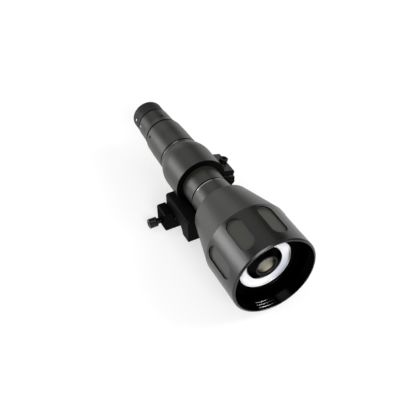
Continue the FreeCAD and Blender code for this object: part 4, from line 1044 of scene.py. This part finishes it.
rings = [(bolt_high.x, BOLT_RADIUS - CORNER, 0), (bolt_high.x - CORNER, BOLT_RADIUS, 0)]
for turn in range(THREAD_TURNS):
    valley = THREAD_TIP - turn * THREAD_PITCH
    rings.append((valley + GROOVE_REACH, BOLT_RADIUS, 0))
    rings.append((valley, BOLT_RADIUS - THREAD_DEPTH, 0))
    rings.append((valley - GROOVE_REACH, BOLT_RADIUS, 0))
head_inner = bolt_low.x + BOLT_HEAD_LENGTH
knurl_inner = head_inner - CORNER
knurl_outer = bolt_low.x + CORNER
knurl_step = (knurl_outer - knurl_inner) / KNURL_ROWS
rings.append((head_inner, BOLT_RADIUS, 0))
rings.append((head_inner, KNURL_RADIUS - CORNER, 0))
rings.append((knurl_inner, KNURL_RADIUS, 0))
for row in range(KNURL_ROWS):
    rings.append((knurl_inner + (row + 1) * knurl_step, KNURL_RADIUS, KNURL_TWIST))
rings.append((bolt_low.x, KNURL_RADIUS - CORNER, 0))
bolt = drawn_out("clamp_bolt_knurled", rings)
print("bolt has", len(rings), "rings")

# %% [markdown]
# The faces of the knurl are found by place: those whose middle lies between the two corners
# of the head. The end at the tip is closed, and the normals are made to point outwards.

# %% Raise the knurl and close the tip
KNURL_HEIGHT = 0.0002
SIDEWAYS = 0.1


def choose_faces(piece, wanted):
    """Selects the faces whose middle and normal pass a test, in edit mode."""
    bpy.ops.object.mode_set(mode="EDIT")
    bpy.ops.mesh.select_mode(type="FACE")
    bpy.ops.mesh.select_all(action="DESELECT")
    surface = bmesh.from_edit_mesh(piece.data)
    for face in surface.faces:
        face.select_set(wanted(face.calc_center_median(), face.normal))
    surface.select_flush_mode()
    bmesh.update_edit_mesh(piece.data)
    return sum(face.select for face in surface.faces)


def in_knurl(middle, normal):
    """Whether a face lies between the head's corners and looks away from the bolt's line."""
    return knurl_outer < middle.x < knurl_inner and abs(normal.x) < SIDEWAYS


bpy.ops.object.mode_set(mode="EDIT")
bpy.ops.mesh.select_all(action="DESELECT")
bpy.ops.mesh.select_mode(type="EDGE")
bpy.ops.mesh.select_non_manifold()
bpy.ops.mesh.edge_face_add()
bpy.ops.mesh.select_all(action="SELECT")
bpy.ops.mesh.normals_make_consistent(inside=False)
knurl_faces = choose_faces(bolt, in_knurl)
bpy.ops.mesh.poke(offset=KNURL_HEIGHT)
bpy.ops.object.mode_set(mode="OBJECT")
print("knurl faces", knurl_faces)

# %% [markdown]
# The head's face has a hexagon socket. A six-sided cutter is subtracted by a Boolean modifier,
# which is then applied, so the piece stays an ordinary mesh. Faces that meet at a small
# angle are shaded smooth, and the pyramids of the knurl keep their edges.

# %% Cut the hexagon socket
SOCKET_WIDTH = 0.003
SOCKET_DEPTH = 0.0026
SMOOTH_ANGLE = math.radians(28)

clear_selection()
bpy.ops.mesh.primitive_cylinder_add(
    vertices=6,
    radius=SOCKET_WIDTH / math.sqrt(3),
    depth=SOCKET_DEPTH * 2,
    location=(bolt_low.x, BOLT_LINE.y, BOLT_LINE.z),
    rotation=(0, math.pi / 2, 0),
)
cutter = bpy.context.object
clear_selection()
bolt.select_set(True)
bpy.context.view_layer.objects.active = bolt
socket = bolt.modifiers.new("socket", "BOOLEAN")
socket.operation = "DIFFERENCE"
socket.object = cutter
bpy.ops.object.modifier_apply(modifier=socket.name)
bpy.ops.object.shade_smooth_by_angle(angle=SMOOTH_ANGLE)
bpy.data.objects.remove(cutter, do_unlink=True)
bolt.data.materials.append(blackened_steel)
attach(bolt, "bolt")
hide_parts("clamp_bolt")
print("bolt has", len(bolt.data.polygons), "faces")

# %% [markdown]
# ## Picture settings
#
# Standard view transform shows a colour about as it is written, which suits a product shot.

# %% View transform and the end of the script
bpy.context.scene.view_settings.view_transform = "Standard"
